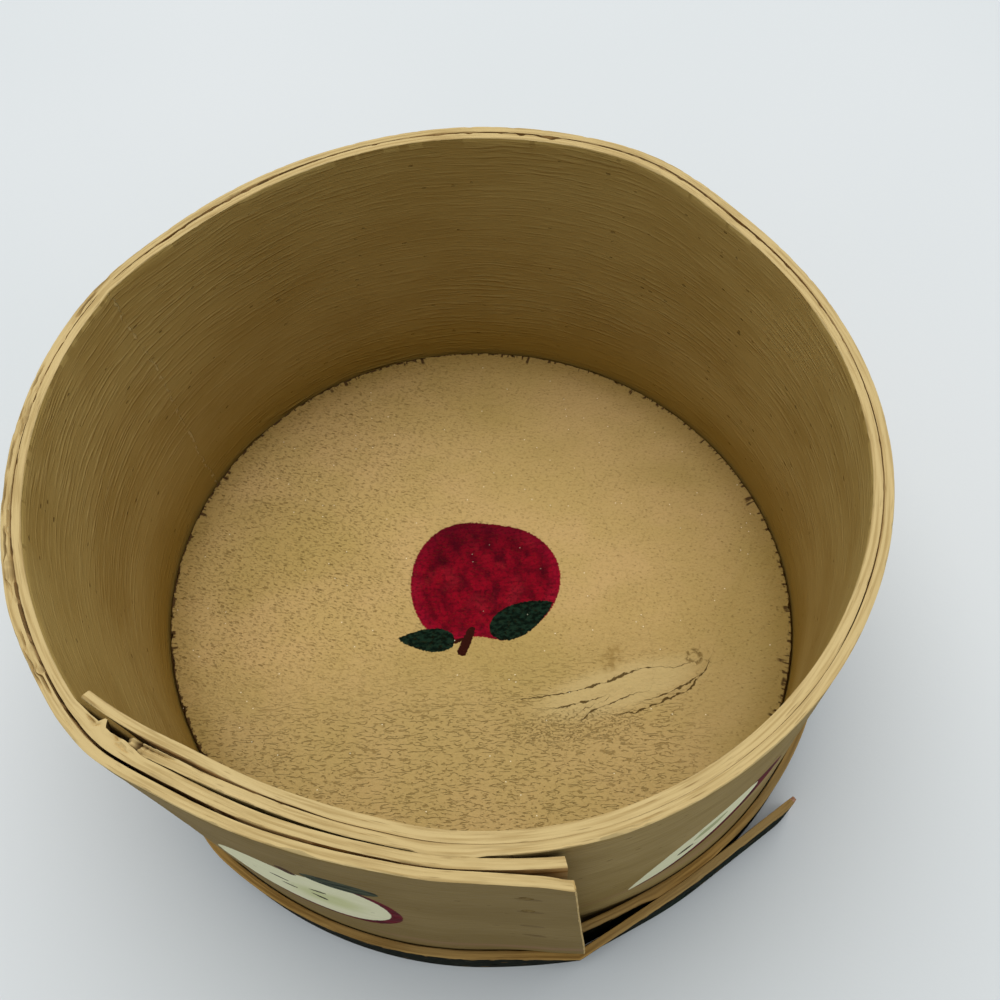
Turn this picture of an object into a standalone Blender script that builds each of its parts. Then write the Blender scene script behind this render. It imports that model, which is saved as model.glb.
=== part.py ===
"""A round bentwood cheese box, open at the top.

Two plies of thick veneer are wound together round the edge of a wooden board, for one turn and a
lap. Tacks close the lap. A narrow hoop goes once round the foot and past its own start, nails pin
it through the plies into the board's edge, and its free end has sprung off.

Metres, +Z up. The origin is the middle of the underside. Angles are in degrees about +Z, and run
on past a full turn along a winding. The lap is at -Y, the front.
"""

from math import acos, atan2, cos, degrees, radians, sin

import bmesh
import bpy
from mathutils import Vector

# The clearance between pieces that touch
SEAT = 0.0003

# The bottom board, a little out of round
BOARD_RADIUS = 0.0960
BOARD_THICKNESS = 0.0100
BOARD_EDGE_EASE = 0.0008
BOARD_OVAL_SHARE = 0.022
BOARD_LONG_AXIS = -38.0

# The two wound plies of the wall
INSIDE_DEPTH = 0.0940
VENEER = 0.00215
VENEER_EASE = 0.0004
INNER_PLY_START = -142.8
OUTER_PLY_START = -134.6
INNER_PLY_END = 278.7
OUTER_PLY_END = 279.6
STEP_UP_TURN = 13.0

# The lap's outer ends stand off over the last stretch past the tacks
LAP_SPRING_TURN = 12.6
INNER_PLY_SPRING = 0.0012
OUTER_PLY_SPRING = 0.0018
SPRING_AT_FOOT_SHARE = 0.4

# The rim of the first turn, inside the inner ply, as shares of the board's radius
RIM_SHARES = (
    (-142.8, 1.020),
    (-134.6, 0.988),
    (-126, 0.964),
    (-114, 0.960),
    (-103, 0.971),
    (-93, 0.994),
    (-73, 1.027),
    (-50, 1.037),
    (-20, 1.023),
    (15, 0.986),
    (34, 0.982),
    (52, 1.016),
    (69, 1.012),
    (117, 0.999),
    (134, 1.006),
    (150, 1.036),
    (186, 1.041),
    (203, 1.045),
)

# How far the lap has come loose at the rim, from what it lies on, as shares of the board's radius
LAP_LOOSE_SHARES = ((217, 0), (224, 0.006), (236, 0.006), (252, 0.002), (262, 0), (280, 0))

# How far the outer ply stands off the inner one at the rim, as shares of the board's radius
PLY_LOOSE_SHARES = (
    (-135, 0),
    (100, 0),
    (128, 0.008),
    (152, 0),
    (206, 0.001),
    (222, 0.006),
    (236, 0.008),
    (250, 0.004),
    (266, 0),
    (280, 0),
)

# The hoop round the foot
HOOP_HEIGHT = 0.0162
HOOP_THICKNESS = 0.0021
HOOP_EASE = 0.0004
HOOP_START = -79.0
HOOP_LEAVES = 299.5
HOOP_END = 317.5
HOOP_START_SPRING = 0.0016
HOOP_START_SPRING_TURN = 14.0

# The nails through the hoop into the board
NAIL_LENGTH = 0.0160
NAIL_SHANK_RADIUS = 0.00075
NAIL_POINT_LENGTH = 0.0016
NAIL_HEAD_RADIUS = 0.0016
NAIL_HEAD_THICKNESS = 0.0006
NAIL_FIRST = -32.0
NAIL_COUNT = 12
HOOP_START_NAIL = -76.0

# The tacks that close the lap
TACK_SHANK_RADIUS = 0.00065
TACK_HEAD_RADIUS = 0.0017
TACK_HEAD_THICKNESS = 0.0007
TACK_CLINCH_LENGTH = 0.0030
TACK_DIRECTION = 274.0
TACK_HEIGHT_SHARES = (0.38, 0.51, 0.70, 0.86)

# The holes round the shanks, and how far a cutter runs past what it cuts
HOLE_CLEARANCE = 0.0003
CUT_OVERRUN = 0.0004

# How finely the round forms are faceted
SIDES = 72
SPRING_STEP = 2.1
ROD_SIDES = 8

FULL_TURN = 360.0
FACET = FULL_TURN / SIDES
PITCH = VENEER + SEAT
WALL_TOP = BOARD_THICKNESS + INSIDE_DEPTH

for old in list(bpy.data.objects):
    bpy.data.objects.remove(old)


def material(name, colour, roughness, metallic=0.0):
    made = bpy.data.materials.new(name)
    made.use_nodes = True
    shader = made.node_tree.nodes["Principled BSDF"]
    shader.inputs["Base Color"].default_value = (*colour, 1)
    shader.inputs["Roughness"].default_value = roughness
    shader.inputs["Metallic"].default_value = metallic
    return made


def add_object(name, mesh, finish):
    if not mesh.materials:
        mesh.materials.append(finish)
    piece = bpy.data.objects.new(name, mesh)
    bpy.context.collection.objects.link(piece)
    return piece


def polar(radius, angle, height):
    return Vector((radius * cos(radians(angle)), radius * sin(radians(angle)), height))


def ease_in_out(share):
    held = min(max(share, 0), 1)
    return held * held * (3 - 2 * held)


def slope_at(table, index):
    before = table[max(index - 1, 0)]
    after = table[min(index + 1, len(table) - 1)]
    return (after[1] - before[1]) / (after[0] - before[0])


def read_table(table, angle):
    """The value at an angle, on a smooth curve through the table's points."""
    last = len(table) - 2
    index = next((k for k in range(last) if angle < table[k + 1][0]), last)
    (start, low), (end, high) = table[index], table[index + 1]
    span = end - start
    along = (angle - start) / span
    left = 1 - along
    return (
        (1 + 2 * along) * left * left * low
        + (1 + 2 * left) * along * along * high
        + span * along * left * (left * slope_at(table, index) - along * slope_at(table, index + 1))
    )


def board_radius(angle):
    return BOARD_RADIUS * (1 + BOARD_OVAL_SHARE * cos(radians(2 * (angle - BOARD_LONG_AXIS))))


FIRST_TURN_END = INNER_PLY_START + FULL_TURN
OVER_BOTH_STARTS = OUTER_PLY_START + FULL_TURN


def climb(angle):
    """How far the winding has climbed over its own starts: one ply before each of them."""
    over_inner = (angle - FIRST_TURN_END) / STEP_UP_TURN + 1
    over_outer = (angle - OVER_BOTH_STARTS) / STEP_UP_TURN + 1
    return PITCH * (ease_in_out(over_inner) + ease_in_out(over_outer))


# Where the first turn ends, its rim has climbed out from its own start.
START_SHARE = RIM_SHARES[0][1]
FIRST_TURN_RIM = RIM_SHARES + (
    (FIRST_TURN_END, START_SHARE + climb(FIRST_TURN_END) / BOARD_RADIUS),
)


def rim_radius(angle):
    """The inner ply's inside at the rim."""
    if angle <= FIRST_TURN_END:
        return BOARD_RADIUS * read_table(FIRST_TURN_RIM, angle)
    carried_by = BOARD_RADIUS * read_table(FIRST_TURN_RIM, angle - FULL_TURN)
    return carried_by + climb(angle) + BOARD_RADIUS * read_table(LAP_LOOSE_SHARES, angle)


def lean(height):
    """How much of its rim's shape the wall has taken, as a strip that is held at its foot bends."""
    up = max(height - BOARD_THICKNESS, 0) / INSIDE_DEPTH
    return up * up * (3 - up) / 2


def lap_spring(angle, height):
    """How far sprung the lap's end is, from 0 where it leaves to 1 at its edge."""
    along = max(angle - (OUTER_PLY_END - LAP_SPRING_TURN), 0) / LAP_SPRING_TURN
    held = ease_in_out(height / HOOP_HEIGHT)
    return along * along * (SPRING_AT_FOOT_SHARE + (1 - SPRING_AT_FOOT_SHARE) * held)


def inner_ply_inside(angle, height):
    foot = board_radius(angle) + SEAT + climb(angle)
    bent = foot + (rim_radius(angle) - foot) * lean(height)
    return bent + INNER_PLY_SPRING * lap_spring(angle, height)


def outer_ply_inside(angle, height):
    loose = BOARD_RADIUS * max(read_table(PLY_LOOSE_SHARES, angle), 0) * lean(height)
    sprung = OUTER_PLY_SPRING * lap_spring(angle, height)
    return inner_ply_inside(angle, height) + PITCH + loose + sprung


def outer_ply_outside(angle, height):
    return outer_ply_inside(angle, height) + VENEER


def straight_run(nearest, nearest_angle, angle):
    """The radius of a straight line, from where it passes nearest the middle."""
    return nearest / cos(radians(angle - nearest_angle))


def hoop_inside(angle, height):
    """The hoop lies on the wall, runs straight from the lap's edge to its own start, and leaves."""
    if angle <= OUTER_PLY_END:
        back = max(HOOP_START + HOOP_START_SPRING_TURN - angle, 0) / HOOP_START_SPRING_TURN
        return outer_ply_outside(angle, height) + SEAT + HOOP_START_SPRING * back * back
    corner = outer_ply_outside(OUTER_PLY_END, height) + SEAT
    touch_angle = HOOP_LEAVES
    nearest = hoop_inside(touch_angle - FULL_TURN, height) + HOOP_THICKNESS + SEAT
    if angle > touch_angle:
        return straight_run(nearest, touch_angle, angle)
    reached = OUTER_PLY_END + degrees(acos(min(nearest / corner, 1)))
    if angle < reached:
        return straight_run(nearest, reached, angle)
    lies_on = hoop_inside(angle - FULL_TURN, height) + HOOP_THICKNESS + SEAT
    return max(lies_on, nearest)


def hoop_outside(angle, height):
    return hoop_inside(angle, height) + HOOP_THICKNESS


def stations(start, end):
    """The angles at which a winding is faceted. Turns that lie on each other share them."""
    steps = (start, OUTER_PLY_START, FIRST_TURN_END, OVER_BOTH_STARTS, end)
    found = [angle for angle in steps if start <= angle <= end]
    sprung_from = OUTER_PLY_END - LAP_SPRING_TURN
    fine_count = int(LAP_SPRING_TURN / SPRING_STEP) + 1
    regular_count = int((end - INNER_PLY_START) / FACET) + 1
    offered = [sprung_from + SPRING_STEP * k for k in range(fine_count)]
    offered += [INNER_PLY_START + FACET * k for k in range(regular_count)]
    for angle in offered:
        apart = min(abs(angle - other) for other in found)
        if start < angle < end and apart > SPRING_STEP / 2:
            found.append(angle)
    return sorted(found)


def strip(name, finish, inside, thickness, heights, ease, angles):
    """A flat strip bent round: inside(angle, height) is its inner face."""
    form = bmesh.new()
    top = heights[-1]
    loops = []
    for angle in angles:
        loop = [form.verts.new(polar(inside(angle, z), angle, z)) for z in heights]
        loop[-1].co = polar(inside(angle, top) + ease, angle, top)
        outer = [form.verts.new(polar(inside(angle, z) + thickness, angle, z)) for z in heights]
        outer[-1].co = polar(inside(angle, top) + thickness - ease, angle, top)
        loops.append(loop + outer[::-1])
    count = len(loops[0])
    half = count // 2
    for here, after in zip(loops, loops[1:]):
        for k in range(count):
            corners = (here[k], after[k], after[(k + 1) % count], here[(k + 1) % count])
            # The diagonals of both faces run the same way, so that nested layers keep their gap.
            turned = corners if k < half else corners[1:] + corners[:1]
            form.faces.new((turned[0], turned[1], turned[2]))
            form.faces.new((turned[0], turned[2], turned[3]))
    for loop in (loops[0], loops[-1]):
        for k in range(half - 1):
            form.faces.new((loop[k], loop[k + 1], loop[count - 2 - k], loop[count - 1 - k]))
    return finished(name, form, finish)


def finished(name, form, finish):
    bmesh.ops.recalc_face_normals(form, faces=form.faces)
    mesh = bpy.data.meshes.new(name)
    form.to_mesh(mesh)
    form.free()
    mesh.shade_smooth()
    mesh.set_sharp_from_angle(angle=radians(30))
    return add_object(name, mesh, finish)


def rings_to_form(form, rings):
    """Skins closed rings of points into a closed body."""
    made = [[form.verts.new(point) for point in ring] for ring in rings]
    count = len(made[0])
    for here, after in zip(made, made[1:]):
        for k in range(count):
            form.faces.new((here[k], here[(k + 1) % count], after[(k + 1) % count], after[k]))
    form.faces.new(made[0])
    form.faces.new(made[-1][::-1])


def rod_ring(centre, across, radius):
    """A ring of points round a centre, in the plane of across and the Y axis."""
    turned = [radians(FULL_TURN * (k + 0.5) / ROD_SIDES) for k in range(ROD_SIDES)]
    side = Vector((0, 1, 0))
    return [centre + radius * (cos(a) * across + sin(a) * side) for a in turned]


def head_rings(radius, thickness, shank_radius):
    """A low domed head on the X axis, its underside at x = 0, and the start of the shank."""
    up = Vector((0, 0, 1))
    profile = (
        (thickness, radius / 2),
        (thickness * 2 / 3, radius * 9 / 10),
        (thickness / 4, radius),
        (0, radius * 9 / 10),
        (0, shank_radius),
    )
    return [rod_ring(Vector((x, 0, 0)), up, r) for x, r in profile]


def bottom_board():
    """A sawn disc with its arrises just broken."""
    form = bmesh.new()
    low, high = 0, BOARD_THICKNESS
    rings = (
        (low, BOARD_EDGE_EASE),
        (low + BOARD_EDGE_EASE, 0),
        (high - BOARD_EDGE_EASE, 0),
        (high, BOARD_EDGE_EASE),
    )
    angles = [INNER_PLY_START + FACET * k for k in range(SIDES)]
    rings_to_form(
        form, [[polar(board_radius(a) - inset, a, z) for a in angles] for z, inset in rings]
    )
    return finished("bottom_board", form, BARE_WOOD)


def nail_mesh():
    """A wire nail on the X axis, pointing along -X, its head's underside at x = 0."""
    up = Vector((0, 0, 1))
    form = bmesh.new()
    shank_end = Vector((NAIL_POINT_LENGTH - NAIL_LENGTH, 0, 0))
    rings = head_rings(NAIL_HEAD_RADIUS, NAIL_HEAD_THICKNESS, NAIL_SHANK_RADIUS)
    rings.append(rod_ring(shank_end, up, NAIL_SHANK_RADIUS))
    rings.append(rod_ring(Vector((-NAIL_LENGTH, 0, 0)), up, NAIL_SHANK_RADIUS / 5))
    rings_to_form(form, rings)
    return mesh_of("nail", form)


def tack_mesh(grip):
    """A tack on the X axis, its point bent down flat against the inside of the wall."""
    up = Vector((0, 0, 1))
    along = Vector((1, 0, 0))
    form = bmesh.new()
    rings = head_rings(TACK_HEAD_RADIUS, TACK_HEAD_THICKNESS, TACK_SHANK_RADIUS)
    out = -(grip + SEAT)
    bend_radius = 2 * TACK_SHANK_RADIUS
    middle = Vector((out, 0, -bend_radius))
    for bend in (0, 45, 90):
        turned = radians(bend)
        across = cos(turned) * up - sin(turned) * along
        rings.append(rod_ring(middle + bend_radius * across, across, TACK_SHANK_RADIUS))
    tip = middle - bend_radius * along - TACK_CLINCH_LENGTH * up
    rings.append(rod_ring(tip, -along, TACK_SHANK_RADIUS / 3))
    rings_to_form(form, rings)
    return mesh_of("tack", form)


def mesh_of(name, form):
    bmesh.ops.recalc_face_normals(form, faces=form.faces)
    mesh = bpy.data.meshes.new(name)
    form.to_mesh(mesh)
    form.free()
    mesh.shade_smooth()
    mesh.set_sharp_from_angle(angle=radians(40))
    return mesh


def seat_on(outside, angle, height, reach):
    """A point on an upright face, and the direction in which the face looks there."""
    turn = degrees(reach / outside(angle, height))
    before = polar(outside(angle - turn, height), angle - turn, height)
    after = polar(outside(angle + turn, height), angle + turn, height)
    heading = degrees(atan2(after.y - before.y, after.x - before.x)) - FULL_TURN / 4
    return polar(outside(angle, height), angle, height), heading


def drive(name, shared_mesh, seat, heading, hole_radius, depth):
    """Drives one fastener in with its head on the seat, and adds its hole to the cutters."""
    outward = polar(1, heading, 0)
    piece = add_object(name, shared_mesh, NAIL_STEEL)
    piece.location = seat + SEAT * outward
    piece.rotation_euler = (0, 0, radians(heading))
    up = Vector((0, 0, 1))
    side = polar(1, heading + FULL_TURN / 4, 0)
    turned = [radians(FULL_TURN * (k + 0.5) / ROD_SIDES) for k in range(ROD_SIDES)]
    ring = [hole_radius * (cos(a) * up + sin(a) * side) for a in turned]
    ends = (seat + CUT_OVERRUN * outward, seat - (depth + CUT_OVERRUN) * outward)
    rings_to_form(cutter_form, [[end + point for point in ring] for end in ends])


BARE_WOOD = material("bare_wood", (0.46, 0.32, 0.15), 0.75)
PAINTED_WOOD = material("tan_paint_on_wood", (0.38, 0.27, 0.12), 0.7)
HOOP_WOOD = material("dark_green_paint_on_wood", (0.02, 0.03, 0.025), 0.55)
NAIL_STEEL = material("dull_steel", (0.25, 0.22, 0.19), 0.5, 1.0)

board = bottom_board()

wall_heights = (
    0,
    BOARD_THICKNESS,
    HOOP_HEIGHT,
    BOARD_THICKNESS + INSIDE_DEPTH / 2,
    WALL_TOP - VENEER_EASE,
    WALL_TOP,
)
inner_ply = strip(
    "wall_inner_ply",
    PAINTED_WOOD,
    inner_ply_inside,
    VENEER,
    wall_heights,
    VENEER_EASE,
    stations(INNER_PLY_START, INNER_PLY_END),
)
outer_ply = strip(
    "wall_outer_ply",
    PAINTED_WOOD,
    outer_ply_inside,
    VENEER,
    wall_heights,
    VENEER_EASE,
    stations(OUTER_PLY_START, OUTER_PLY_END),
)
hoop = strip(
    "bottom_hoop",
    HOOP_WOOD,
    hoop_inside,
    HOOP_THICKNESS,
    (0, BOARD_THICKNESS, HOOP_HEIGHT - HOOP_EASE, HOOP_HEIGHT),
    HOOP_EASE,
    stations(HOOP_START, HOOP_END),
)

cutter_form = bmesh.new()

# The nails stand level in the middle of the board's edge, heads on the hoop.
nail_height = BOARD_THICKNESS / 2
nail_hole_radius = NAIL_SHANK_RADIUS + HOLE_CLEARANCE
shared_nail = nail_mesh()
nail_angles = [NAIL_FIRST + k * FULL_TURN / NAIL_COUNT for k in range(NAIL_COUNT)]
nail_angles.append(HOOP_START_NAIL)
for number, angle in enumerate(nail_angles, 1):
    seat, heading = seat_on(hoop_outside, angle, nail_height, NAIL_HEAD_RADIUS)
    name = f"hoop_nail_{number:02d}"
    drive(name, shared_nail, seat, heading, nail_hole_radius, NAIL_LENGTH)

# One upright row of tacks goes through all four layers of the lap.
tack_heights = [BOARD_THICKNESS + share * INSIDE_DEPTH for share in TACK_HEIGHT_SHARES]
tack_seats = [
    seat_on(outer_ply_outside, TACK_DIRECTION, z, TACK_HEAD_RADIUS) for z in tack_heights
]
grips = [
    (seat.xy.length - inner_ply_inside(TACK_DIRECTION - FULL_TURN, seat.z))
    / cos(radians(heading - TACK_DIRECTION))
    for seat, heading in tack_seats
]
tack_hole_radius = TACK_SHANK_RADIUS + HOLE_CLEARANCE
shared_tack = tack_mesh(max(grips) + SEAT)
for number, ((seat, heading), grip) in enumerate(zip(tack_seats, grips), 1):
    drive(f"lap_tack_{number}", shared_tack, seat, heading, tack_hole_radius, grip)

bmesh.ops.recalc_face_normals(cutter_form, faces=cutter_form.faces)
cutter_mesh = bpy.data.meshes.new("fastener_holes")
cutter_form.to_mesh(cutter_mesh)
cutter_form.free()
cutter = add_object("fastener_holes", cutter_mesh, BARE_WOOD)
cutter.hide_render = True
cutter.display_type = "WIRE"
for piece in (board, inner_ply, outer_ply, hoop):
    holes = piece.modifiers.new("fastener_holes", "BOOLEAN")
    holes.operation = "DIFFERENCE"
    holes.solver = "EXACT"
    holes.object = cutter
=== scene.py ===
"""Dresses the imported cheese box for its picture: a bentwood box of two wound plies, painted tan,
with an apple on its floor, cut apples round its outside and a dark hoop round its foot.

Metres and degrees, +Z up, the origin in the middle of the underside. Angles run on past a full
turn along a winding, as they do in the part.
"""

from functools import reduce
from math import acos, atan2, cos, degrees, pi, radians, sin

import bpy
from mathutils import Matrix, Vector, noise


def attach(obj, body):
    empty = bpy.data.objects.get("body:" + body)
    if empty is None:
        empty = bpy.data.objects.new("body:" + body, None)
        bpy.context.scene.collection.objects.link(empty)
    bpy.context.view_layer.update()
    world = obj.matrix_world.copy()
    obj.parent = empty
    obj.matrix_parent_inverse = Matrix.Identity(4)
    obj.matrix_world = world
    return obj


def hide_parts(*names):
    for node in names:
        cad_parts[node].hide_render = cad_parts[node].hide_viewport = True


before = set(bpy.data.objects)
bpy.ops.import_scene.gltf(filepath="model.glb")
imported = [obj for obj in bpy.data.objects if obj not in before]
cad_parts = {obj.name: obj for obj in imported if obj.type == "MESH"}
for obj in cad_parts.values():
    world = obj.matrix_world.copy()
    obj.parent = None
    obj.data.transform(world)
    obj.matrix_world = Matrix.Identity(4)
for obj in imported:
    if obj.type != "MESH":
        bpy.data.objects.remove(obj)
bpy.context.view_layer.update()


# The box stands open on a sheet of white card, under one large soft lamp above and a little
# behind it. The camera looks steeply down into it from the front, and is turned a little.
CAMERA_PLACE = (0.0107, -0.1436, 0.3033)
CAMERA_TILT = 30.9
CAMERA_ROLL = -6.1
CAMERA_LENS = 37.33
SHEET_WIDTH = 8
SHEET_DROP = 0.0001
LAMP_PLACE = (0.02, 0.34, 1.6)
LAMP_WIDTH = 1.6
LAMP_POWER = 21.3
SKY_STRENGTH = 0.71
CARD_FADE = (0.6, 1.5)
MATT_GLOSS = 0.015
ROOM_COLOUR = (222, 227, 230)


def tone(red, green, blue):
    """A colour as it shows on a screen, 0 to 255, in the numbers that a shader takes."""
    shares = [value / 255 for value in (red, green, blue)]
    linear = [s / 12.92 if s < 0.04 else ((s + 0.055) / 1.055) ** 2.4 for s in shares]
    return (*linear, 1)


def feed(socket, value):
    """Links a socket to another one, or sets it to a plain value."""
    if isinstance(value, bpy.types.NodeSocket):
        socket.id_data.links.new(value, socket)
    else:
        socket.default_value = value


def add_node(tree, kind, inputs=None, **settings):
    """A shader node with its settings, and its sockets set or linked."""
    made = tree.nodes.new("ShaderNode" + kind)
    made.location = (220 * (len(tree.nodes) % 12), -260 * (len(tree.nodes) // 12))
    for name, value in settings.items():
        setattr(made, name, value)
    for name, value in (inputs or {}).items():
        feed(made.inputs[name], value)
    return made


def add_after(kind, inputs, **settings):
    """A shader node in the same tree as the sockets that feed it."""
    tree = next(v.id_data for v in inputs.values() if isinstance(v, bpy.types.NodeSocket))
    return add_node(tree, kind, inputs, **settings)


def maths(operation, *values):
    return add_after("Math", dict(enumerate(values)), operation=operation).outputs[0]


def product(*values):
    return reduce(lambda so_far, value: maths("MULTIPLY", so_far, value), values)


def largest(*values):
    return reduce(lambda so_far, value: maths("MAXIMUM", so_far, value), values)


def minus(value, taken_off):
    return maths("SUBTRACT", value, taken_off)


def distance(value, other):
    return maths("ABSOLUTE", minus(value, other))


def vectors(operation, *values):
    made = add_after("VectorMath", dict(enumerate(values)), operation=operation)
    return made.outputs["Value" if operation in ("LENGTH", "DOT_PRODUCT") else "Vector"]


def joined(x, y, z=0):
    return add_after("CombineXYZ", {0: x, 1: y, 2: z}).outputs[0]


def split_up(vector):
    return list(add_after("SeparateXYZ", {0: vector}).outputs)


def turned(place, angle):
    """A place turned about the origin, looked at from above."""
    turn = {"Vector": place, "Angle": angle}
    return add_after("VectorRotate", turn, rotation_type="Z_AXIS").outputs[0]


def eased(value, low, high, to_low=0, to_high=1):
    """A value spread smoothly from one range to another, and held at its ends."""
    ends = {"Value": value, "From Min": low, "From Max": high, "To Min": to_low, "To Max": to_high}
    return add_after("MapRange", ends, interpolation_type="SMOOTHSTEP").outputs[0]


def cloud(place, scale, detail=2):
    """Soft noise. The scale is its repeats for each metre, along and across."""
    along, across = scale
    spread = vectors("MULTIPLY", place, (along, across, along))
    return add_after("TexNoise", {"Vector": spread, "Scale": 1, "Detail": detail}).outputs[0]


def laid_over(share, below, above):
    """One colour laid over another, as a share of it. A plain one is written 0 to 255."""
    below, above = (tone(*c) if isinstance(c, tuple) else c for c in (below, above))
    return add_after("Mix", {0: share, 6: below, 7: above}, data_type="RGBA").outputs[2]


def coated(colour, *coats):
    """Lays coats over a colour in turn: each has its mask, its strength and its tone."""
    for mask, strength, shade in coats:
        mask = mask if strength == 1 else product(mask, strength)
        colour = laid_over(mask, colour, shade)
    return colour


def clouded(place, colour, *clouds):
    """Lays clouds over a colour: scale and detail, where each starts and is full, strength, tone."""
    for scale, detail, start, full, strength, shade in clouds:
        mask = eased(cloud(place, scale, detail), start, full, 0, strength)
        colour = laid_over(mask, colour, shade)
    return colour


def new_material(name):
    made = bpy.data.materials.new(name)
    made.use_nodes = True
    return made, made.node_tree


def finish_with(made, colour, roughness, height, depth, gloss=MATT_GLOSS, more=None):
    """Feeds a material's shader. The height, 0 to 1, is raised by depth in metres."""
    relief = {"Strength": 1, "Distance": depth, "Height": height}
    fed = {"Base Color": colour, "Roughness": roughness, "Specular IOR Level": gloss}
    fed["Normal"] = add_after("Bump", relief).outputs[0]
    for label, value in (fed | (more or {})).items():
        feed(made.node_tree.nodes["Principled BSDF"].inputs[label], value)
    return made


def seen_directly(tree):
    """1 where a thing is seen, also by way of something shiny or clear, and 0 where it lights."""
    rays = add_node(tree, "LightPath").outputs
    return largest(*(rays[f"Is {kind} Ray"] for kind in ("Camera", "Glossy", "Transmission")))


def white_card():
    """The card fades into the pale room well away from the box, so that it shows no edge."""
    made, tree = new_material("white_card")
    place = add_node(tree, "NewGeometry").outputs["Position"]
    colour = clouded(place, (215, 218, 220), ((3, 3), 2, 0.3, 0.7, 1, (211, 215, 217)))
    faded = product(eased(vectors("LENGTH", place), *CARD_FADE), seen_directly(tree))
    colour = laid_over(faded, colour, (0, 0, 0))
    glow = {"Emission Color": laid_over(faded, (0, 0, 0), ROOM_COLOUR), "Emission Strength": 1}
    return finish_with(made, colour, 0.85, cloud(place, (900, 900)), 0.00002, more=glow)


camera = bpy.data.objects.new("camera", bpy.data.cameras.new("camera"))
camera.data.lens = CAMERA_LENS
camera.data.clip_start = 0.01
camera.matrix_world = (
    Matrix.Translation(CAMERA_PLACE)
    @ Matrix.Rotation(radians(CAMERA_TILT), 4, "X")
    @ Matrix.Rotation(radians(CAMERA_ROLL), 4, "Z")
)
lamp = bpy.data.objects.new("soft_lamp", bpy.data.lights.new("soft_lamp", "AREA"))
lamp.data.size = LAMP_WIDTH
lamp.data.energy = LAMP_POWER
lamp.data.color = (1, 0.985, 0.96)
lamp.location = LAMP_PLACE
lamp.rotation_euler = Vector(LAMP_PLACE).to_track_quat("Z", "Y").to_euler()
half = SHEET_WIDTH / 2
corners = [(x * half, y * half, -SHEET_DROP) for x, y in ((-1, -1), (1, -1), (1, 1), (-1, 1))]
sheet_mesh = bpy.data.meshes.new("card_sheet")
sheet_mesh.from_pydata(corners, [], [(0, 1, 2, 3)])
sheet_mesh.materials.append(white_card())
card_sheet = bpy.data.objects.new("card_sheet", sheet_mesh)
for item in (camera, lamp, card_sheet):
    bpy.context.scene.collection.objects.link(item)
bpy.context.scene.camera = camera
bpy.context.scene.view_settings.view_transform = "Standard"

# Seen directly, the room is as pale as the card. It lights the box less.
world = bpy.data.worlds.new("pale_room")
world.use_nodes = True
bpy.context.scene.world = world
room = world.node_tree
room_light = room.nodes["Background"]
brightness = eased(seen_directly(room), 0, 1, SKY_STRENGTH, 1)
feed(room_light.inputs["Strength"], brightness)
feed(room_light.inputs["Color"], tone(*ROOM_COLOUR))


# The floor of the box is one round board, a little out of round, its grain from side to side. Its
# thin tan paint has crazed and has split over a knot, and an apple is painted in its middle.
BOARD_RADIUS = 0.096
BOARD_THICKNESS = 0.01
BOARD_OVAL_SHARE = 0.022
BOARD_LONG_AXIS = -38
BOARD_EDGE_EASE = 0.0006
BOARD_RINGS = 118
BOARD_TURN_STEPS = 400
KNOT_SHARES = (0.66, -0.31)
KNOT_WIDTH = 0.0026
KNOT_RISE = 0.0005
SWELLING_SHARES = ((0.13, -0.42), (0.68, -0.33))
SWELLING_RISE = 0.0006
SWELLING_WIDTH = 0.0078
SPLIT_FADE = 0.0024
SPLIT_WIDTH = 0.00027
SPLIT_DEPTH = 0.0003
SPLIT_GROOVE_WIDTH = 0.0009

# The splits in the paint round the knot, as shares of the board's radius, and how wide they gape
UPPER_SPLIT = (
    (0.09, -0.384, 0), (0.16, -0.386, 0.5), (0.25, -0.383, 0.7), (0.33, -0.37, 1),
    (0.39, -0.358, 1.2), (0.46, -0.335, 1.4), (0.51, -0.326, 0.8), (0.6, -0.338, 0.3),
    (0.64, -0.328, 0),
)
LOWER_SPLIT = (
    (0.71, -0.318, 0), (0.69, -0.352, 0.7), (0.66, -0.378, 0.8), (0.63, -0.41, 0.9),
    (0.58, -0.427, 1.1), (0.51, -0.449, 1.2), (0.45, -0.467, 0.8), (0.38, -0.464, 0),
)
SHORT_SPLIT = (
    (0.285, -0.476, 0), (0.31, -0.452, 1.1), (0.36, -0.437, 0.9), (0.43, -0.415, 0.5),
    (0.48, -0.405, 0),
)
TWIN_SPLIT = ((0.67, -0.366, 0), (0.61, -0.4, 0.8), (0.54, -0.422, 0.7), (0.48, -0.433, 0))
FAINT_SPLIT = ((0.2, -0.428, 0), (0.25, -0.424, 0.8), (0.31, -0.418, 0.9), (0.36, -0.405, 0))


def board_radius(angle):
    return BOARD_RADIUS * (1 + BOARD_OVAL_SHARE * cos(radians(2 * (angle - BOARD_LONG_AXIS))))


def on_circle(angle, radius):
    return radius * cos(radians(angle)), radius * sin(radians(angle))


def rough(x, y, z=0):
    """Smooth noise from -1 to 1."""
    return noise.noise(Vector((x, y, z)))


def beside_split(split, x, y):
    """How far a point lies to the left of a split, and how wide the split gapes there."""
    best_apart, best = 1, (1, 0)
    for start, end in zip(split, split[1:]):
        way = (Vector(end[:2]) - Vector(start[:2])) * BOARD_RADIUS
        off = Vector((x, y)) - Vector(start[:2]) * BOARD_RADIUS
        along = min(max(off.dot(way) / way.dot(way), 0), 1)
        apart = (off - along * way).length
        if apart < best_apart:
            side = 1 if way.cross(off) > 0 else -1
            gape = start[2] + (end[2] - start[2]) * along
            best_apart, best = apart, (side * apart, gape)
    return best


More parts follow.
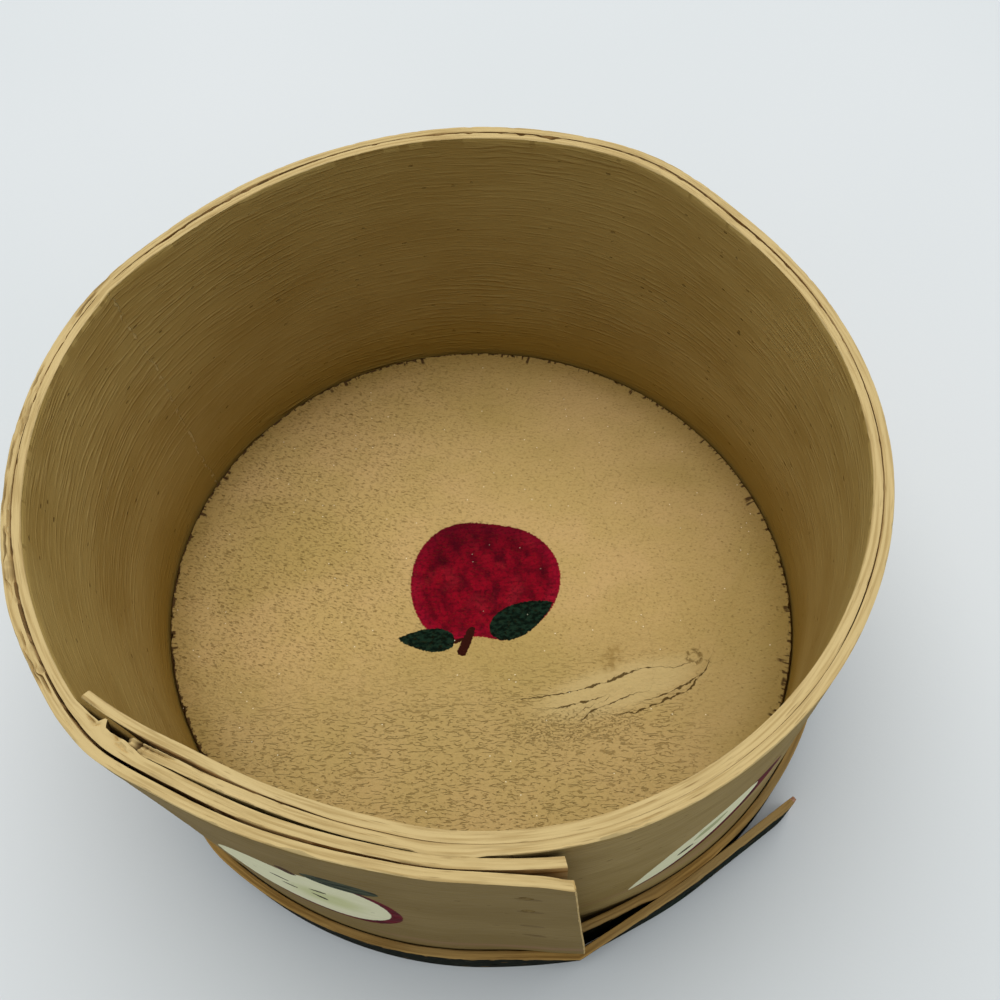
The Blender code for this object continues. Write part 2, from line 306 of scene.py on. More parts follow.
def board_relief(x, y):
    """How the painted face rises and falls: cupped, swollen along the knot, low in the splits."""
    start, end = (Vector(share) * BOARD_RADIUS for share in SWELLING_SHARES)
    way = end - start
    off = Vector((x, y)) - start
    along = off.dot(way) / way.dot(way)
    across = way.cross(off) / way.length
    lens = max(1 - (2 * along - 1) ** 4, 0) if 0 < along < 1 else 0
    crest = max(1 - (across / SWELLING_WIDTH) ** 2, 0)
    swelling = SWELLING_RISE * lens * crest * (0.75 + 0.5 * rough(x * 120, y * 260, 3))
    from_knot = (Vector((x, y)) - Vector(KNOT_SHARES) * BOARD_RADIUS).length / KNOT_WIDTH
    knot = KNOT_RISE * max(1 - (from_knot - 0.8) ** 2, 0)
    groove = 0
    for split in (UPPER_SPLIT, LOWER_SPLIT):
        apart, gape = beside_split(split, x, y)
        groove += SPLIT_DEPTH * gape * max(1 - abs(apart) / SPLIT_GROOVE_WIDTH, 0)
    waves = 0.00012 * rough(x * 38, y * 60, 9)
    lower_part = min(max((-y / BOARD_RADIUS - 0.25) * 3, 0), 1)
    crazing = (0.00003 + 0.00006 * lower_part) * rough(x * 260, y * 620, 5)
    return swelling + knot - groove + waves + crazing


def new_mesh(name, points, faces, finishes, face_finish, places):
    """A mesh with its materials, one of them for each face, and its own coordinates in metres."""
    made = bpy.data.meshes.new(name)
    made.from_pydata(points, [], faces)
    for finish in finishes:
        made.materials.append(finish)
    made.polygons.foreach_set("material_index", face_finish)
    made.uv_layers.new(name="place").data.foreach_set("uv", [v for uv in places for v in uv])
    made.update()
    made.shade_smooth()
    return made


def add_piece(name, mesh, node):
    """Puts a dressed piece in a CAD node's place."""
    piece = bpy.data.objects.new(name, mesh)
    bpy.context.scene.collection.objects.link(piece)
    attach(piece, "root")
    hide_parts(node)


def board_mesh(finishes):
    """Rings of points from the middle of the painted face out, over the edge and under."""
    turns = [360 * k / BOARD_TURN_STEPS for k in range(BOARD_TURN_STEPS)]
    points, rings = [], []

    def ring(share, inset, height, relief):
        rings.append([len(points) + k for k in range(BOARD_TURN_STEPS)])
        for turn in turns:
            x, y = on_circle(turn, board_radius(turn) * share - inset(turn))
            points.append((x, y, height + (board_relief(x, y) if relief else 0)))

    def worn(turn):
        """How far the edge is chipped away, at a place round it."""
        along = radians(turn) * BOARD_RADIUS
        bites = max(rough(along * 420, 3) - 0.05, 0) + max(rough(along * 1300, 8), 0) / 3
        return BOARD_EDGE_EASE + 0.0011 * bites

    for k in range(1, BOARD_RINGS):
        ring(k / BOARD_RINGS, lambda turn: 0, BOARD_THICKNESS, True)
    ring(1, worn, BOARD_THICKNESS, True)
    ring(1, lambda turn: worn(turn) / 3, BOARD_THICKNESS - 0.0005, False)
    ring(1, lambda turn: 0, BOARD_THICKNESS - 0.0016, False)
    ring(1, lambda turn: 0, BOARD_EDGE_EASE, False)
    painted_rings = BOARD_RINGS
    ring(1, lambda turn: BOARD_EDGE_EASE, 0, False)
    ring(0.5, lambda turn: 0, 0, False)
    top, under = len(points), len(points) + 1
    points.extend([(0, 0, BOARD_THICKNESS + board_relief(0, 0)), (0, 0, 0)])
    faces, face_finish = [], []
    for number, (inner, outer) in enumerate(zip(rings, rings[1:])):
        for k in range(BOARD_TURN_STEPS):
            after = (k + 1) % BOARD_TURN_STEPS
            faces.append((inner[k], outer[k], outer[after], inner[after]))
            face_finish.append(0 if number < painted_rings else 1)
    for k in range(BOARD_TURN_STEPS):
        after = (k + 1) % BOARD_TURN_STEPS
        faces.append((top, rings[0][k], rings[0][after]))
        faces.append((under, rings[-1][after], rings[-1][k]))
        face_finish.extend([0, 1])
    places = []
    for face in faces:
        flat = [Vector(points[corner][:2]) for corner in face]
        middle = sum(flat, Vector((0, 0))) / len(flat)
        turn = degrees(atan2(middle.y, middle.x))
        for place in flat:
            own = degrees(atan2(place.y, place.x)) if place.length > 1e-6 else turn
            own += 360 * round((turn - own) / 360)
            places.append((radians(own) * BOARD_RADIUS, board_radius(own) - place.length))
    return new_mesh("painted_board", points, faces, finishes, face_finish, places)


def mark_splits(mesh, name, splits):
    """Gives each point its distance from the nearest split and the split's gape, faded out."""
    marks = mesh.attributes.new(name, "FLOAT_VECTOR", "POINT")
    found = []
    for vertex in mesh.vertices:
        nearest = min(
            (beside_split(split, vertex.co.x, vertex.co.y) for split in splits),
            key=lambda beside: abs(beside[0]),
        )
        fade = min(max(1 - abs(nearest[0]) / SPLIT_FADE, 0) * 3, 1)
        found.extend((max(min(nearest[0], SPLIT_FADE), -SPLIT_FADE), nearest[1] * fade, 0))
    marks.data.foreach_set("vector", found)


def new_group(name, gives, **takes):
    """An empty node group, what comes into it and what goes out. Places are vectors."""
    group = bpy.data.node_groups.new(name, "ShaderNodeTree")
    sockets = [(label, "INPUT", value) for label, value in takes.items()]
    sockets += [(label, "OUTPUT", None) for label in gives]
    for label, way, value in sockets:
        kind = "NodeSocketVector" if label in ("Place", "From", "To") else "NodeSocketFloat"
        made = group.interface.new_socket(label, in_out=way, socket_type=kind)
        if value is not None:
            made.default_value = value
    entry = group.nodes.new("NodeGroupInput")
    leaving = group.nodes.new("NodeGroupOutput")
    return group, entry.outputs, leaving.inputs


def grouped(group, place, **given):
    """A node group placed in a material with its own values, and what it puts out."""
    return add_after("Group", {"Place": place} | given, node_tree=group).outputs


def strewn_cells(spread):
    """Cells strewn about: how far off the middle of each is, and three numbers drawn for it."""
    cells = {"Vector": spread, "Scale": 1}
    cells = add_after("TexVoronoi", cells, voronoi_dimensions="2D").outputs
    return cells["Distance"], add_after("SeparateColor", {0: cells["Color"]}).outputs


def make_flecks():
    """Short dashes strewn about, most of them lying one way, as in crazed thin paint."""
    sizes = {"Length": 0.003, "Width": 0.0012, "Share": 0.5}
    tree, given, out = new_group("strewn_flecks", ("Mask",), Place=None, **sizes)
    bend = product(minus(cloud(given["Place"], (420, 420), 3), 0.5), given["Width"], 0.45)
    bent = vectors("ADD", given["Place"], joined(0, bend))
    cell = joined(given["Length"], given["Width"], 1)
    apart, drawn = strewn_cells(vectors("DIVIDE", bent, cell))
    size = maths("MULTIPLY_ADD", drawn[1], 0.16, 0.08)
    spot = eased(minus(apart, size), 0.07, -0.03)
    faint = maths("MULTIPLY_ADD", drawn[2], 0.6, 0.4)
    kept = maths("LESS_THAN", drawn[0], given["Share"])
    feed(out["Mask"], product(spot, faint, kept))
    return tree


def make_crackle():
    """Fine wavy cracks that run along the grain and break off."""
    sizes = {"Length": 0.006, "Width": 0.0016, "Line": 0.045, "Share": 0.5}
    tree, given, out = new_group("broken_crackle", ("Mask",), Place=None, **sizes)
    drift = product(minus(cloud(given["Place"], (500, 500)), 0.5), given["Width"], 0.8)
    moved = vectors("ADD", given["Place"], joined(drift, drift))
    cell = joined(given["Length"], given["Width"], 1)
    spread = vectors("DIVIDE", moved, cell)
    line = eased(distance(cloud(spread, (1, 1), 1), 0.5), given["Line"], 0)
    whole = minus(cloud(spread, (1.9, 1.1), 1), minus(1, given["Share"]))
    feed(out["Mask"], product(line, eased(whole, -0.03, 0.08)))
    return tree


def make_brush_drop():
    """A stroke of a loaded brush between two points: a leaf, a stem or a seed."""
    takes = {"Place": None, "From": None, "To": None, "Width": 0.002, "Base": 0.5, "Tip": 1}
    tree, given, out = new_group("brush_drop", ("Mask",), **takes)
    way = vectors("SUBTRACT", given["To"], given["From"])
    off = vectors("SUBTRACT", given["Place"], given["From"])
    reach = vectors("DOT_PRODUCT", way, way)
    share = maths("DIVIDE", vectors("DOT_PRODUCT", off, way), reach)
    share = maths("MINIMUM", largest(share, 0), 1)
    along = vectors("MULTIPLY", way, joined(share, share, share))
    apart = vectors("LENGTH", vectors("SUBTRACT", off, along))
    belly = maths("POWER", share, given["Base"])
    taper = maths("POWER", minus(1, share), given["Tip"])
    depth = minus(product(belly, taper, given["Width"]), apart)
    feed(out["Mask"], eased(depth, -0.00008, 0.0001))
    return tree


def make_apple_outline():
    """How deep a place lies inside an apple's outline, dimpled at its stem and its base."""
    sizes = {"Radius": 0.02, "Stem": 0}
    tree, given, out = new_group("apple_outline", ("Depth",), Place=None, **sizes)
    x, y = split_up(given["Place"])[:2]
    from_stem = minus(maths("ARCTAN2", y, x), given["Stem"])
    facing = maths("COSINE", from_stem)
    lobes = maths("COSINE", maths("MULTIPLY_ADD", from_stem, 3, 0.9))
    shape = maths("MULTIPLY_ADD", facing, 0.06, 1)
    for part, sharpness, depth in (
        (largest(facing, 0), 16, -0.2),
        (largest(product(facing, -1), 0), 10, -0.06),
        (lobes, 1, 0.03),
    ):
        part = part if sharpness == 1 else maths("POWER", part, sharpness)
        shape = maths("MULTIPLY_ADD", part, depth, shape)
    feed(out["Depth"], minus(product(shape, given["Radius"]), vectors("LENGTH", given["Place"])))
    return tree


def make_ragged_place():
    """A place pushed about a little, so that a painted edge through it is ragged."""
    tree, given, out = new_group("ragged_place", ("Place",), Place=None, Raggedness=0.0005)
    fine = vectors("MULTIPLY", given["Place"], (1500, 1500, 0))
    shift = add_after("TexNoise", {"Vector": fine, "Scale": 1, "Detail": 2}).outputs[1]
    shift = vectors("SUBTRACT", shift, (0.5, 0.5, 0.5))
    reach = joined(given["Raggedness"], given["Raggedness"])
    moved = vectors("ADD", given["Place"], vectors("MULTIPLY", shift, reach))
    feed(out["Place"], vectors("MULTIPLY", moved, (1, 1, 0)))
    return tree


STREWN_FLECKS = make_flecks()
BROKEN_CRACKLE = make_crackle()
BRUSH_DROP = make_brush_drop()
APPLE_OUTLINE = make_apple_outline()
RAGGED_PLACE = make_ragged_place()


def drop(place, start, end, width, base=0.5, tip=1):
    """The mask of one brush stroke, its widest part as wide as asked."""
    fullest = (base / (base + tip)) ** base * (tip / (base + tip)) ** tip
    stroke = {"From": (*start, 0), "To": (*end, 0), "Width": width / 2 / fullest}
    return grouped(BRUSH_DROP, place, Base=base, Tip=tip, **stroke)["Mask"]


def strip_place(tree):
    """A place on a piece's own unrolled face, in metres, and how far along and up it lies."""
    place = add_node(tree, "UVMap", uv_map="place").outputs[0]
    return [place] + split_up(place)[:2]


def plain_finish(name, grain, tones, roughness, depth, *clouds, solid=False):
    """Bare wood: its grain has a scale, a detail, a start and a full height, and two tones."""
    made, tree = new_material(name)
    place = add_node(tree, "TexCoord").outputs["Object"] if solid else strip_place(tree)[0]
    scale, detail, start, full = grain
    lines = cloud(place, scale, detail)
    colour = laid_over(eased(lines, start, full), *tones)
    return finish_with(made, clouded(place, colour, *clouds), roughness, lines, depth)


# The floor's apple hangs stem down towards the front. It is a plain apple of its own outline.
APPLE_MIDDLE = (0.003, 0.004)
APPLE_RADIUS = 0.0228
APPLE_WIDENING = 1.04
APPLE_STEM_TURN = -100
FLECK_TURN = 0.42
STEM_ENDS = ((-0.0017, -0.0122), (-0.0062, -0.0212))
TWIG_ENDS = ((-0.0036, -0.0158), (-0.0088, -0.0168))
LEFT_LEAF_ENDS = ((-0.0078, -0.0163), (-0.025, -0.0136))
RIGHT_LEAF_ENDS = ((0.0036, -0.015), (0.0236, -0.0068))


def board_paint():
    made, tree = new_material("crazed_board_paint")
    spot = add_node(tree, "TexCoord").outputs["Object"]
    flat = vectors("MULTIPLY", spot, (1, 1, 0))
    x, y = split_up(flat)[:2]
    round_it, inward = strip_place(tree)[::2]

    def near(middle, reach, turn=0):
        """1 in the middle of an oval patch of the board, easing to 0 at its edge."""
        about = vectors("SUBTRACT", flat, (*(BOARD_RADIUS * share for share in middle), 0))
        about = vectors("DIVIDE", turned(about, -turn), (*reach, 1))
        return eased(vectors("LENGTH", about), 1, 0.5)

    def strewn(group, turn, length, width, share):
        """Flecks or cracks that lie at a turn from side to side."""
        sizes = {"Length": length, "Width": width, "Share": share}
        return grouped(group, turned(flat, turn), **sizes)[0]

    colour = clouded(
        flat,
        (196, 167, 107),
        ((34, 46), 3, 0.36, 0.64, 1, (203, 171, 115)),
        ((16, 22), 2, 0.48, 0.66, 0.6, (178, 154, 88)),
        ((1100, 1400), 3, 0.5, 0.7, 0.3, (150, 122, 68)),
    )
    lower = eased(y, -0.01, -0.046)
    upper = minus(1, lower)
    swollen = near((0.41, -0.385), (0.0315, 0.009), 0.17)
    smudge = eased(cloud(flat, (500, 500), 3), 0.4, 0.62, 0.1, 0.5)
    smudge = product(near((0.405, -0.285), (0.0038, 0.0064), -0.5), smudge)
    colour = coated(
        colour,
        (lower, 0.4, (170, 149, 95)),
        # Painted shade: the board darkens towards its back edge, under the back wall.
        (eased(y, 0.05, 0.092), 0.4, (160, 132, 74)),
        # Painted highlight: the swelling is painted paler along its raised ridge.
        (swollen, 0.55, (208, 186, 132)),
        (smudge, 1, (140, 110, 54)),
    )

    # The paint is crazed in dashes at the upper left, and in cracks along the grain lower down.
    to_side = eased(x, 0.046, 0.07, 1, 0.2)
    crowd = eased(cloud(flat, (60, 60)), 0.35, 0.62, 0.45, 1)
    dashes = strewn(STREWN_FLECKS, FLECK_TURN, 0.0026, 0.0009, product(crowd, 0.75, to_side))
    specks = strewn(STREWN_FLECKS, FLECK_TURN, 0.0015, 0.0009, product(crowd, 0.4))
    bold = strewn(STREWN_FLECKS, FLECK_TURN, 0.0034, 0.0012, 0.07)
    worms = strewn(BROKEN_CRACKLE, 0.5, 0.003, 0.001, 0.5)
    net = strewn(BROKEN_CRACKLE, 0.12, 0.0046, 0.0011, 0.54)
    dashes = product(largest(dashes, product(worms, 0.55)), 0.85)
    left_part = eased(x, 0.034, -0.05, 0.3, 1)
    dashes = product(largest(dashes, bold), left_part, upper)
    net = product(net, lower, to_side, 0.75)
    crazed = largest(dashes, net, product(specks, 0.5))
    crazed = product(crazed, maths("MULTIPLY_ADD", swollen, -0.8, 1))
    crumbs = eased(cloud(flat, (1150, 1700), 5), 0.55, 0.63, 0, 0.7)
    crumbs = product(crumbs, near((0.26, -0.49), (0.025, 0.0068)))
    knot = (KNOT_SHARES[0] * BOARD_RADIUS, KNOT_SHARES[1] * BOARD_RADIUS, 0)
    from_knot = vectors("LENGTH", vectors("SUBTRACT", flat, knot))
    ring = eased(distance(from_knot, KNOT_WIDTH * 0.75), 0.0011, 0.0003)
    broken = eased(cloud(flat, (700, 700), 3), 0.44, 0.56)
    crazed = largest(crazed, crumbs, product(ring, broken))

    split_mask = 0
    shaking = minus(cloud(flat, (520, 620), 4), 0.5)
    uneven = eased(cloud(flat, (430, 300)), 0.38, 0.6, 0.05, 1.25)
    for name in ("splits", "more_splits"):
        marks = add_node(tree, "Attribute", attribute_name=name).outputs["Vector"]
        apart, gape = split_up(marks)[:2]
        apart = maths("ABSOLUTE", maths("MULTIPLY_ADD", shaking, 0.0017, apart))
        inside = minus(product(gape, SPLIT_WIDTH, uneven), apart)
        split_mask = largest(split_mask, eased(inside, -0.0001, 0.0001))

    # Short ragged checks run in from the edge, and a dark line runs where the paint meets the wall.
    # Within 12 mm of the wall the board is darkened as painted shade.
    hairs = eased(cloud(round_it, (800, 120), 1), 0.52, 0.62)
    reach = eased(cloud(round_it, (70, 0)), 0.42, 0.72, 0.0012, 0.0046)
    reached = eased(maths("DIVIDE", inward, reach), 1, 0.7)
    gritty = cloud(round_it, (420, 420), 3)
    line_width = eased(gritty, 0.35, 0.65, 0.0003, 0.0013)
    line_width = product(line_width, eased(x, -0.02, 0.06, 1, 0.4))
    junction = eased(minus(line_width, inward), -0.0002, 0.0002)
    dark = largest(product(hairs, reached), junction)
    # Painted shade: the board darkens over its last 12 mm towards the wall.
    colour = coated(colour, (eased(inward, 0.012, 0), 0.45, (142, 114, 50)))

    # The paint of the apple, its leaves and its stem lies over the tan.
    ragged = grouped(RAGGED_PLACE, flat, Raggedness=0.0011)[0]
    about = vectors("SUBTRACT", ragged, (*APPLE_MIDDLE, 0))
    about = vectors("DIVIDE", about, (APPLE_WIDENING, 1, 1))
    stem_turn = radians(APPLE_STEM_TURN)
    body = grouped(APPLE_OUTLINE, about, Radius=APPLE_RADIUS, Stem=stem_turn)[0]
    red = clouded(ragged, (140, 8, 30), ((240, 150), 6, 0.38, 0.7, 1, (72, 3, 18)))
    red = clouded(flat, red, ((120, 95), 3, 0.5, 0.7, 0.5, (164, 30, 44)))
    red = coated(red, (eased(body, 0.005, 0.0008), 0.5, (160, 14, 46)))
    red = clouded(ragged, red, ((160, 900), 3, 0.46, 0.64, 0.35, (74, 4, 18)))
    red = clouded(flat, red, ((900, 1000), 4, 0.5, 0.64, 0.5, (66, 6, 20)))
    red = coated(red, (eased(y, 0.004, 0.028), 0.7, (60, 4, 18)))
    red = clouded(flat, red, ((1500, 1900), 2, 0.58, 0.72, 0.45, (92, 26, 32)))
    green = clouded(ragged, (6, 18, 11), ((600, 900), 3, 0.4, 0.62, 1, (24, 44, 32)))
    flesh = eased(body, -0.0001, 0.0002)
    stem = drop(ragged, *STEM_ENDS, 0.003, 0.25, 0.12)
    twig = drop(ragged, *TWIG_ENDS, 0.0011, 0.1, 0.1)
    left_leaf = drop(ragged, *LEFT_LEAF_ENDS, 0.0078, 0.42, 0.85)
    right_leaf = drop(ragged, *RIGHT_LEAF_ENDS, 0.0108, 0.5, 0.85)
    leaves = largest(left_leaf, right_leaf)
    paint = largest(flesh, leaves, stem)

    # Age shows through the apple too, and fine glitter has been dusted over everything. Its specks
    # are painted near white as painted glints, fainter over the apple's paint.
    ageing = product(crazed, eased(paint, 0, 1, 0.66, 0.15))
    apart, drawn = strewn_cells(vectors("MULTIPLY", flat, (520, 520, 0)))
    chosen = maths("LESS_THAN", drawn[0], 0.018)
    glitter_glints = product(eased(apart, 0.11, 0.05), chosen, eased(paint, 0, 1, 1, 0.35))
    colour = coated(
        colour,
        (flesh, 1, red),
        (largest(stem, twig), 1, (52, 18, 12)),
        (leaves, 1, green),
        (ageing, 1, (108, 84, 36)),
        (split_mask, 0.9, (80, 60, 26)),
        (dark, 0.85, (62, 36, 22)),
        (glitter_glints, 1, (255, 246, 214)),
    )
    pebbled = product(cloud(flat, (520, 900), 4), 1.4)
    height = minus(pebbled, largest(crazed, split_mask, dark))
    return finish_with(made, colour, eased(paint, 0, 1, 0.66, 0.5), height, 0.00028)


BARE_BOARD_GRAIN = ((30, 900), 4, 0.35, 0.65)
BARE_BOARD_TONES = ((176, 138, 84), (138, 100, 56))
bare_board = plain_finish(
    "bare_sawn_board", BARE_BOARD_GRAIN, BARE_BOARD_TONES, 0.8, 0.0002, solid=True
)
painted_board = board_mesh((board_paint(), bare_board))
mark_splits(painted_board, "splits", (UPPER_SPLIT, LOWER_SPLIT))
mark_splits(painted_board, "more_splits", (SHORT_SPLIT, TWIN_SPLIT, FAINT_SPLIT))
add_piece("painted_board", painted_board, "bottom_board")


# The wall's inner ply is one strip of thick veneer, wound once round the board and on over its own
# start. Brush marks and raised grain run along it, and its rim is worn pale.
SEAT = 0.0003
INSIDE_DEPTH = 0.094
WALL_TOP = BOARD_THICKNESS + INSIDE_DEPTH
VENEER = 0.00215
PITCH = VENEER + SEAT
INNER_PLY_START = -142.8
OUTER_PLY_START = -134.6
INNER_PLY_END = 278.7
OUTER_PLY_END = 279.6
STEP_UP_TURN = 13
LAP_SPRING_TURN = 12.6
INNER_PLY_SPRING = 0.0012
OUTER_PLY_SPRING = 0.0018
SPRING_AT_FOOT_SHARE = 0.4
HOOP_HEIGHT = 0.0162
FULL_TURN = 360
WINDING_STEP = 0.33
ARC_RADIUS = 0.1
FINE_ROWS = 40
PLAIN_ROWS = 8
RIM_FIBRES = 7
CREASE_ANGLE = 148.7
BACK_ANGLE = 88
SEAM_FILLED = (-112, -106, -47, -32)
SEAM_CHIPPED = (30, 50, 90, 108)
FRAYED_BY_START = (215.5, 218.5, 225, 229)
FRAY_BRIDGE = (221.2, 221.6, 222, 222.6)
FRAY_GAP = 0.0008
FRAY_DEPTH = 0.007
FRAY_EASE = 0.006
CREASE_DEPTH = 0.0004
CREASE_TURN = 2.5
SEAM_FILL_SHARE = 0.97
LAP_SWELLING = 0.00032
LAP_SWOLLEN = (217, 226, 244, 254)

# The rim's shape inside the inner ply, and how far the lap and the outer ply have come loose
# there, as shares of the board's radius
RIM_SHARES = (
    (-142.8, 1.02), (-134.6, 0.988), (-126, 0.964), (-114, 0.96), (-103, 0.971), (-93, 0.994),
    (-73, 1.027), (-50, 1.037), (-20, 1.023), (15, 0.986), (34, 0.982), (52, 1.016), (69, 1.012),
    (117, 0.999), (134, 1.006), (150, 1.036), (186, 1.041), (203, 1.045),
)
LAP_LOOSE_SHARES = ((217, 0), (224, 0.006), (236, 0.006), (252, 0.002), (262, 0), (280, 0))
PLY_LOOSE_SHARES = (
    (-135, 0), (10, 0), (40, 0.0035), (80, 0.0045), (104, 0.002), (128, 0.008), (152, 0.001),
    (190, 0.001), (202, 0.006), (212, 0.003), (222, 0.006), (236, 0.008), (250, 0.004), (266, 0),
    (280, 0),
)


def ease_in_out(share):
    held = min(max(share, 0), 1)
    return held * held * (3 - 2 * held)


def slope_at(table, index):
    before = table[max(index - 1, 0)]
    after = table[min(index + 1, len(table) - 1)]
    return (after[1] - before[1]) / (after[0] - before[0])


def read_table(table, angle):
    """The value at an angle, on a smooth curve through the table's points."""
    last = len(table) - 2
    index = next((k for k in range(last) if angle < table[k + 1][0]), last)
    (start, low), (end, high) = table[index], table[index + 1]
    span = end - start
    along = (angle - start) / span
    left = 1 - along
    return (
        (1 + 2 * along) * left * left * low
        + (1 + 2 * left) * along * along * high
        + span * along * left * (left * slope_at(table, index) - along * slope_at(table, index + 1))
    )


FIRST_TURN_END = INNER_PLY_START + FULL_TURN
OVER_BOTH_STARTS = OUTER_PLY_START + FULL_TURN


def climb(angle):
    """How far the winding has climbed over its own starts."""
    over_inner = (angle - FIRST_TURN_END) / STEP_UP_TURN + 1
    over_outer = (angle - OVER_BOTH_STARTS) / STEP_UP_TURN + 1
    return PITCH * (ease_in_out(over_inner) + ease_in_out(over_outer))


FIRST_TURN_RIM = RIM_SHARES + (
    (FIRST_TURN_END, RIM_SHARES[0][1] + climb(FIRST_TURN_END) / BOARD_RADIUS),
)


def rim_radius(angle):
    if angle <= FIRST_TURN_END:
        return BOARD_RADIUS * read_table(FIRST_TURN_RIM, angle)
    carried_by = BOARD_RADIUS * read_table(FIRST_TURN_RIM, angle - FULL_TURN)
    return carried_by + climb(angle) + BOARD_RADIUS * read_table(LAP_LOOSE_SHARES, angle)


def lean(height):
    """How much of its rim's shape the wall has taken."""
    up = max(height - BOARD_THICKNESS, 0) / INSIDE_DEPTH
    return up * up * (3 - up) / 2


def lap_spring(angle, height):
    along = max(angle - (OUTER_PLY_END - LAP_SPRING_TURN), 0) / LAP_SPRING_TURN
    held = ease_in_out(height / HOOP_HEIGHT)
    return along * along * (SPRING_AT_FOOT_SHARE + (1 - SPRING_AT_FOOT_SHARE) * held)


def inner_ply_inside(angle, height):
    foot = board_radius(angle) + SEAT + climb(angle)
    bent = foot + (rim_radius(angle) - foot) * lean(height)
    return bent + INNER_PLY_SPRING * lap_spring(angle, height)


def outer_ply_inside(angle, height):
    loose = BOARD_RADIUS * max(read_table(PLY_LOOSE_SHARES, angle), 0) * lean(height)
    sprung = OUTER_PLY_SPRING * lap_spring(angle, height)
    return inner_ply_inside(angle, height) + PITCH + loose + sprung


def outer_ply_outside(angle, height):
    return outer_ply_inside(angle, height) + VENEER


def raised_grain(along, height, seed):
    """Ridges of grain under the paint, -1 to 1: long, low and a little wandering."""
    wander = 1.4 * rough(along * 18, height * 12, seed)
    ridges = rough(along * 26, height * 300 + wander, seed + 11)
    return ridges + 0.5 * rough(along * 60, height * 520 + wander, seed + 23)


def chipped(along, seed, amount):
    """How much of an arris is broken away, at a place along it."""
    long_bites = max(rough(along * 95, seed) - 0.18, 0)
    short_bites = max(rough(along * 330, seed + 5) - 0.1, 0)
    return amount * (1.3 * long_bites + 0.7 * short_bites)


def within(angle, turns):
    """1 between the middle two of four angles, easing to 0 at the outer two."""
    start, full, still_full, end = turns
    return ease_in_out((angle - start) / (full - start)) * ease_in_out(
        (end - angle) / (end - still_full)
    )


def fibres_at(along, seed, depth, splintered=0):
    """How high the fibres of a rim stand, from its inner to its outer arris."""
    found = []
    for k in range(RIM_FIBRES):
        long_fibre = rough(along * 42, k * 0.9, seed)
        short_fibre = rough(along * 260, k * 1.7, seed + 3)
        between = sin(pi * k / (RIM_FIBRES - 1))
        splinter = splintered * between * max(rough(along * 85, k * 4.3, seed + 7) - 0.12, 0)
        found.append(depth * (0.7 * long_fibre + 0.5 * short_fibre - 0.25) - splinter)
    return found


def section_points(inside, thickness, top, rows, arrises, fibres, swell):
    """The loop of points round a strip's section: up its inside, over its top and down outside.

    arrises is how much of the inner and the outer arris is worn away, and swell is how far
    the outside stands proud at a height.
    """
    rows_in, rows_out = rows
    worn_in, worn_out = arrises
    room = 0.9 * thickness / max(worn_in + worn_out, 1e-9)
    worn_in, worn_out = worn_in * min(room, 1), worn_out * min(room, 1)
    loop = [(0, (top - worn_in) * k / rows_in) for k in range(rows_in + 1)]
    for k, fibre in enumerate(fibres):
        across = worn_in + (thickness - worn_in - worn_out) * k / (RIM_FIBRES - 1)
        loop.append((across, top + fibre))
    loop += [(thickness, (top - worn_out) * (1 - k / rows_out)) for k in range(rows_out + 1)]
    return [(inside(z) + across * (1 + swell(z) / thickness), z, across) for across, z in loop]


def wound_mesh(name, columns, rows_in, finishes, bare_columns=0):
    """Skins the sections of a winding: columns is a list of (angles, section points).

    The finishes are for its inside, its top, its outside and its ends, and the last
    bare_columns are finished like the ends.
    """
    count = len(columns[0][1])
    top_rows = RIM_FIBRES + 1
    points, faces, face_finish, places = [], [], [], []
    for angles, section in columns:
        for angle, (radius, height, across) in zip(angles, section):
            points.append((*on_circle(angle, radius), height))

    def place(column, k, region):
        radius, height, across = columns[column][1][k]
        along = arc_of(columns[column][0][k])
        return (along, across if region == 1 else height)

    for column in range(len(columns) - 1):
        for k in range(count):
            after = (k + 1) % count
            region = 0 if k < rows_in else 1 if k < rows_in + top_rows else 2
            region = 1 if after == 0 else region
            region = 3 if column >= len(columns) - 1 - bare_columns else region
            here, there = column * count, (column + 1) * count
            faces.append((here + k, here + after, there + after, there + k))
            face_finish.append(region)
            corners = ((column, k), (column, after), (column + 1, after), (column + 1, k))
            places.extend(place(c, r, region) for c, r in corners)
    for column, order in ((0, range(count - 1, -1, -1)), (len(columns) - 1, range(count))):
        faces.append([column * count + k for k in order])
        face_finish.append(3)
        places.extend((columns[column][1][k][2], columns[column][1][k][1]) for k in order)
    made = new_mesh(name, points, faces, finishes, face_finish, places)
    made.set_sharp_from_angle(angle=radians(50))
    return made


def arc_of(angle):
    return radians(angle) * ARC_RADIUS


def winding_angles(start, end):
    count = round((end - start) / WINDING_STEP)
    return [start + (end - start) * k / count for k in range(count + 1)]


def make_brushed_grain():
    """Brush marks and raised grain along a strip, and the stains of age."""
    gives = ("Ridges", "Strokes", "Stains", "Nicks")
    sizes = {"Length": 0.016, "Spacing": 0.001}
    tree, given, out = new_group("brushed_grain", gives, Place=None, **sizes)
    place = given["Place"]
    wander = minus(cloud(place, (38, 60)), 0.5)
    moved = vectors("ADD", place, joined(0, product(wander, 0.0026)))
    cell = joined(given["Length"], given["Spacing"], 1)
    spread = vectors("DIVIDE", moved, cell)
    ridges = eased(cloud(spread, (1, 1)), 0.46, 0.72)
    combed = eased(cloud(place, (8, 20)), 0.38, 0.6, 0.35, 1)
    feed(out["Ridges"], product(ridges, combed))
    feed(out["Strokes"], cloud(spread, (2.6, 2.4), 3))
    feed(out["Stains"], cloud(place, (22, 46), 3))
    nicks = grouped(STREWN_FLECKS, place, Length=0.003, Width=0.0013, Share=0.02)[0]
    feed(out["Nicks"], nicks)
    return tree


BRUSHED_GRAIN = make_brushed_grain()


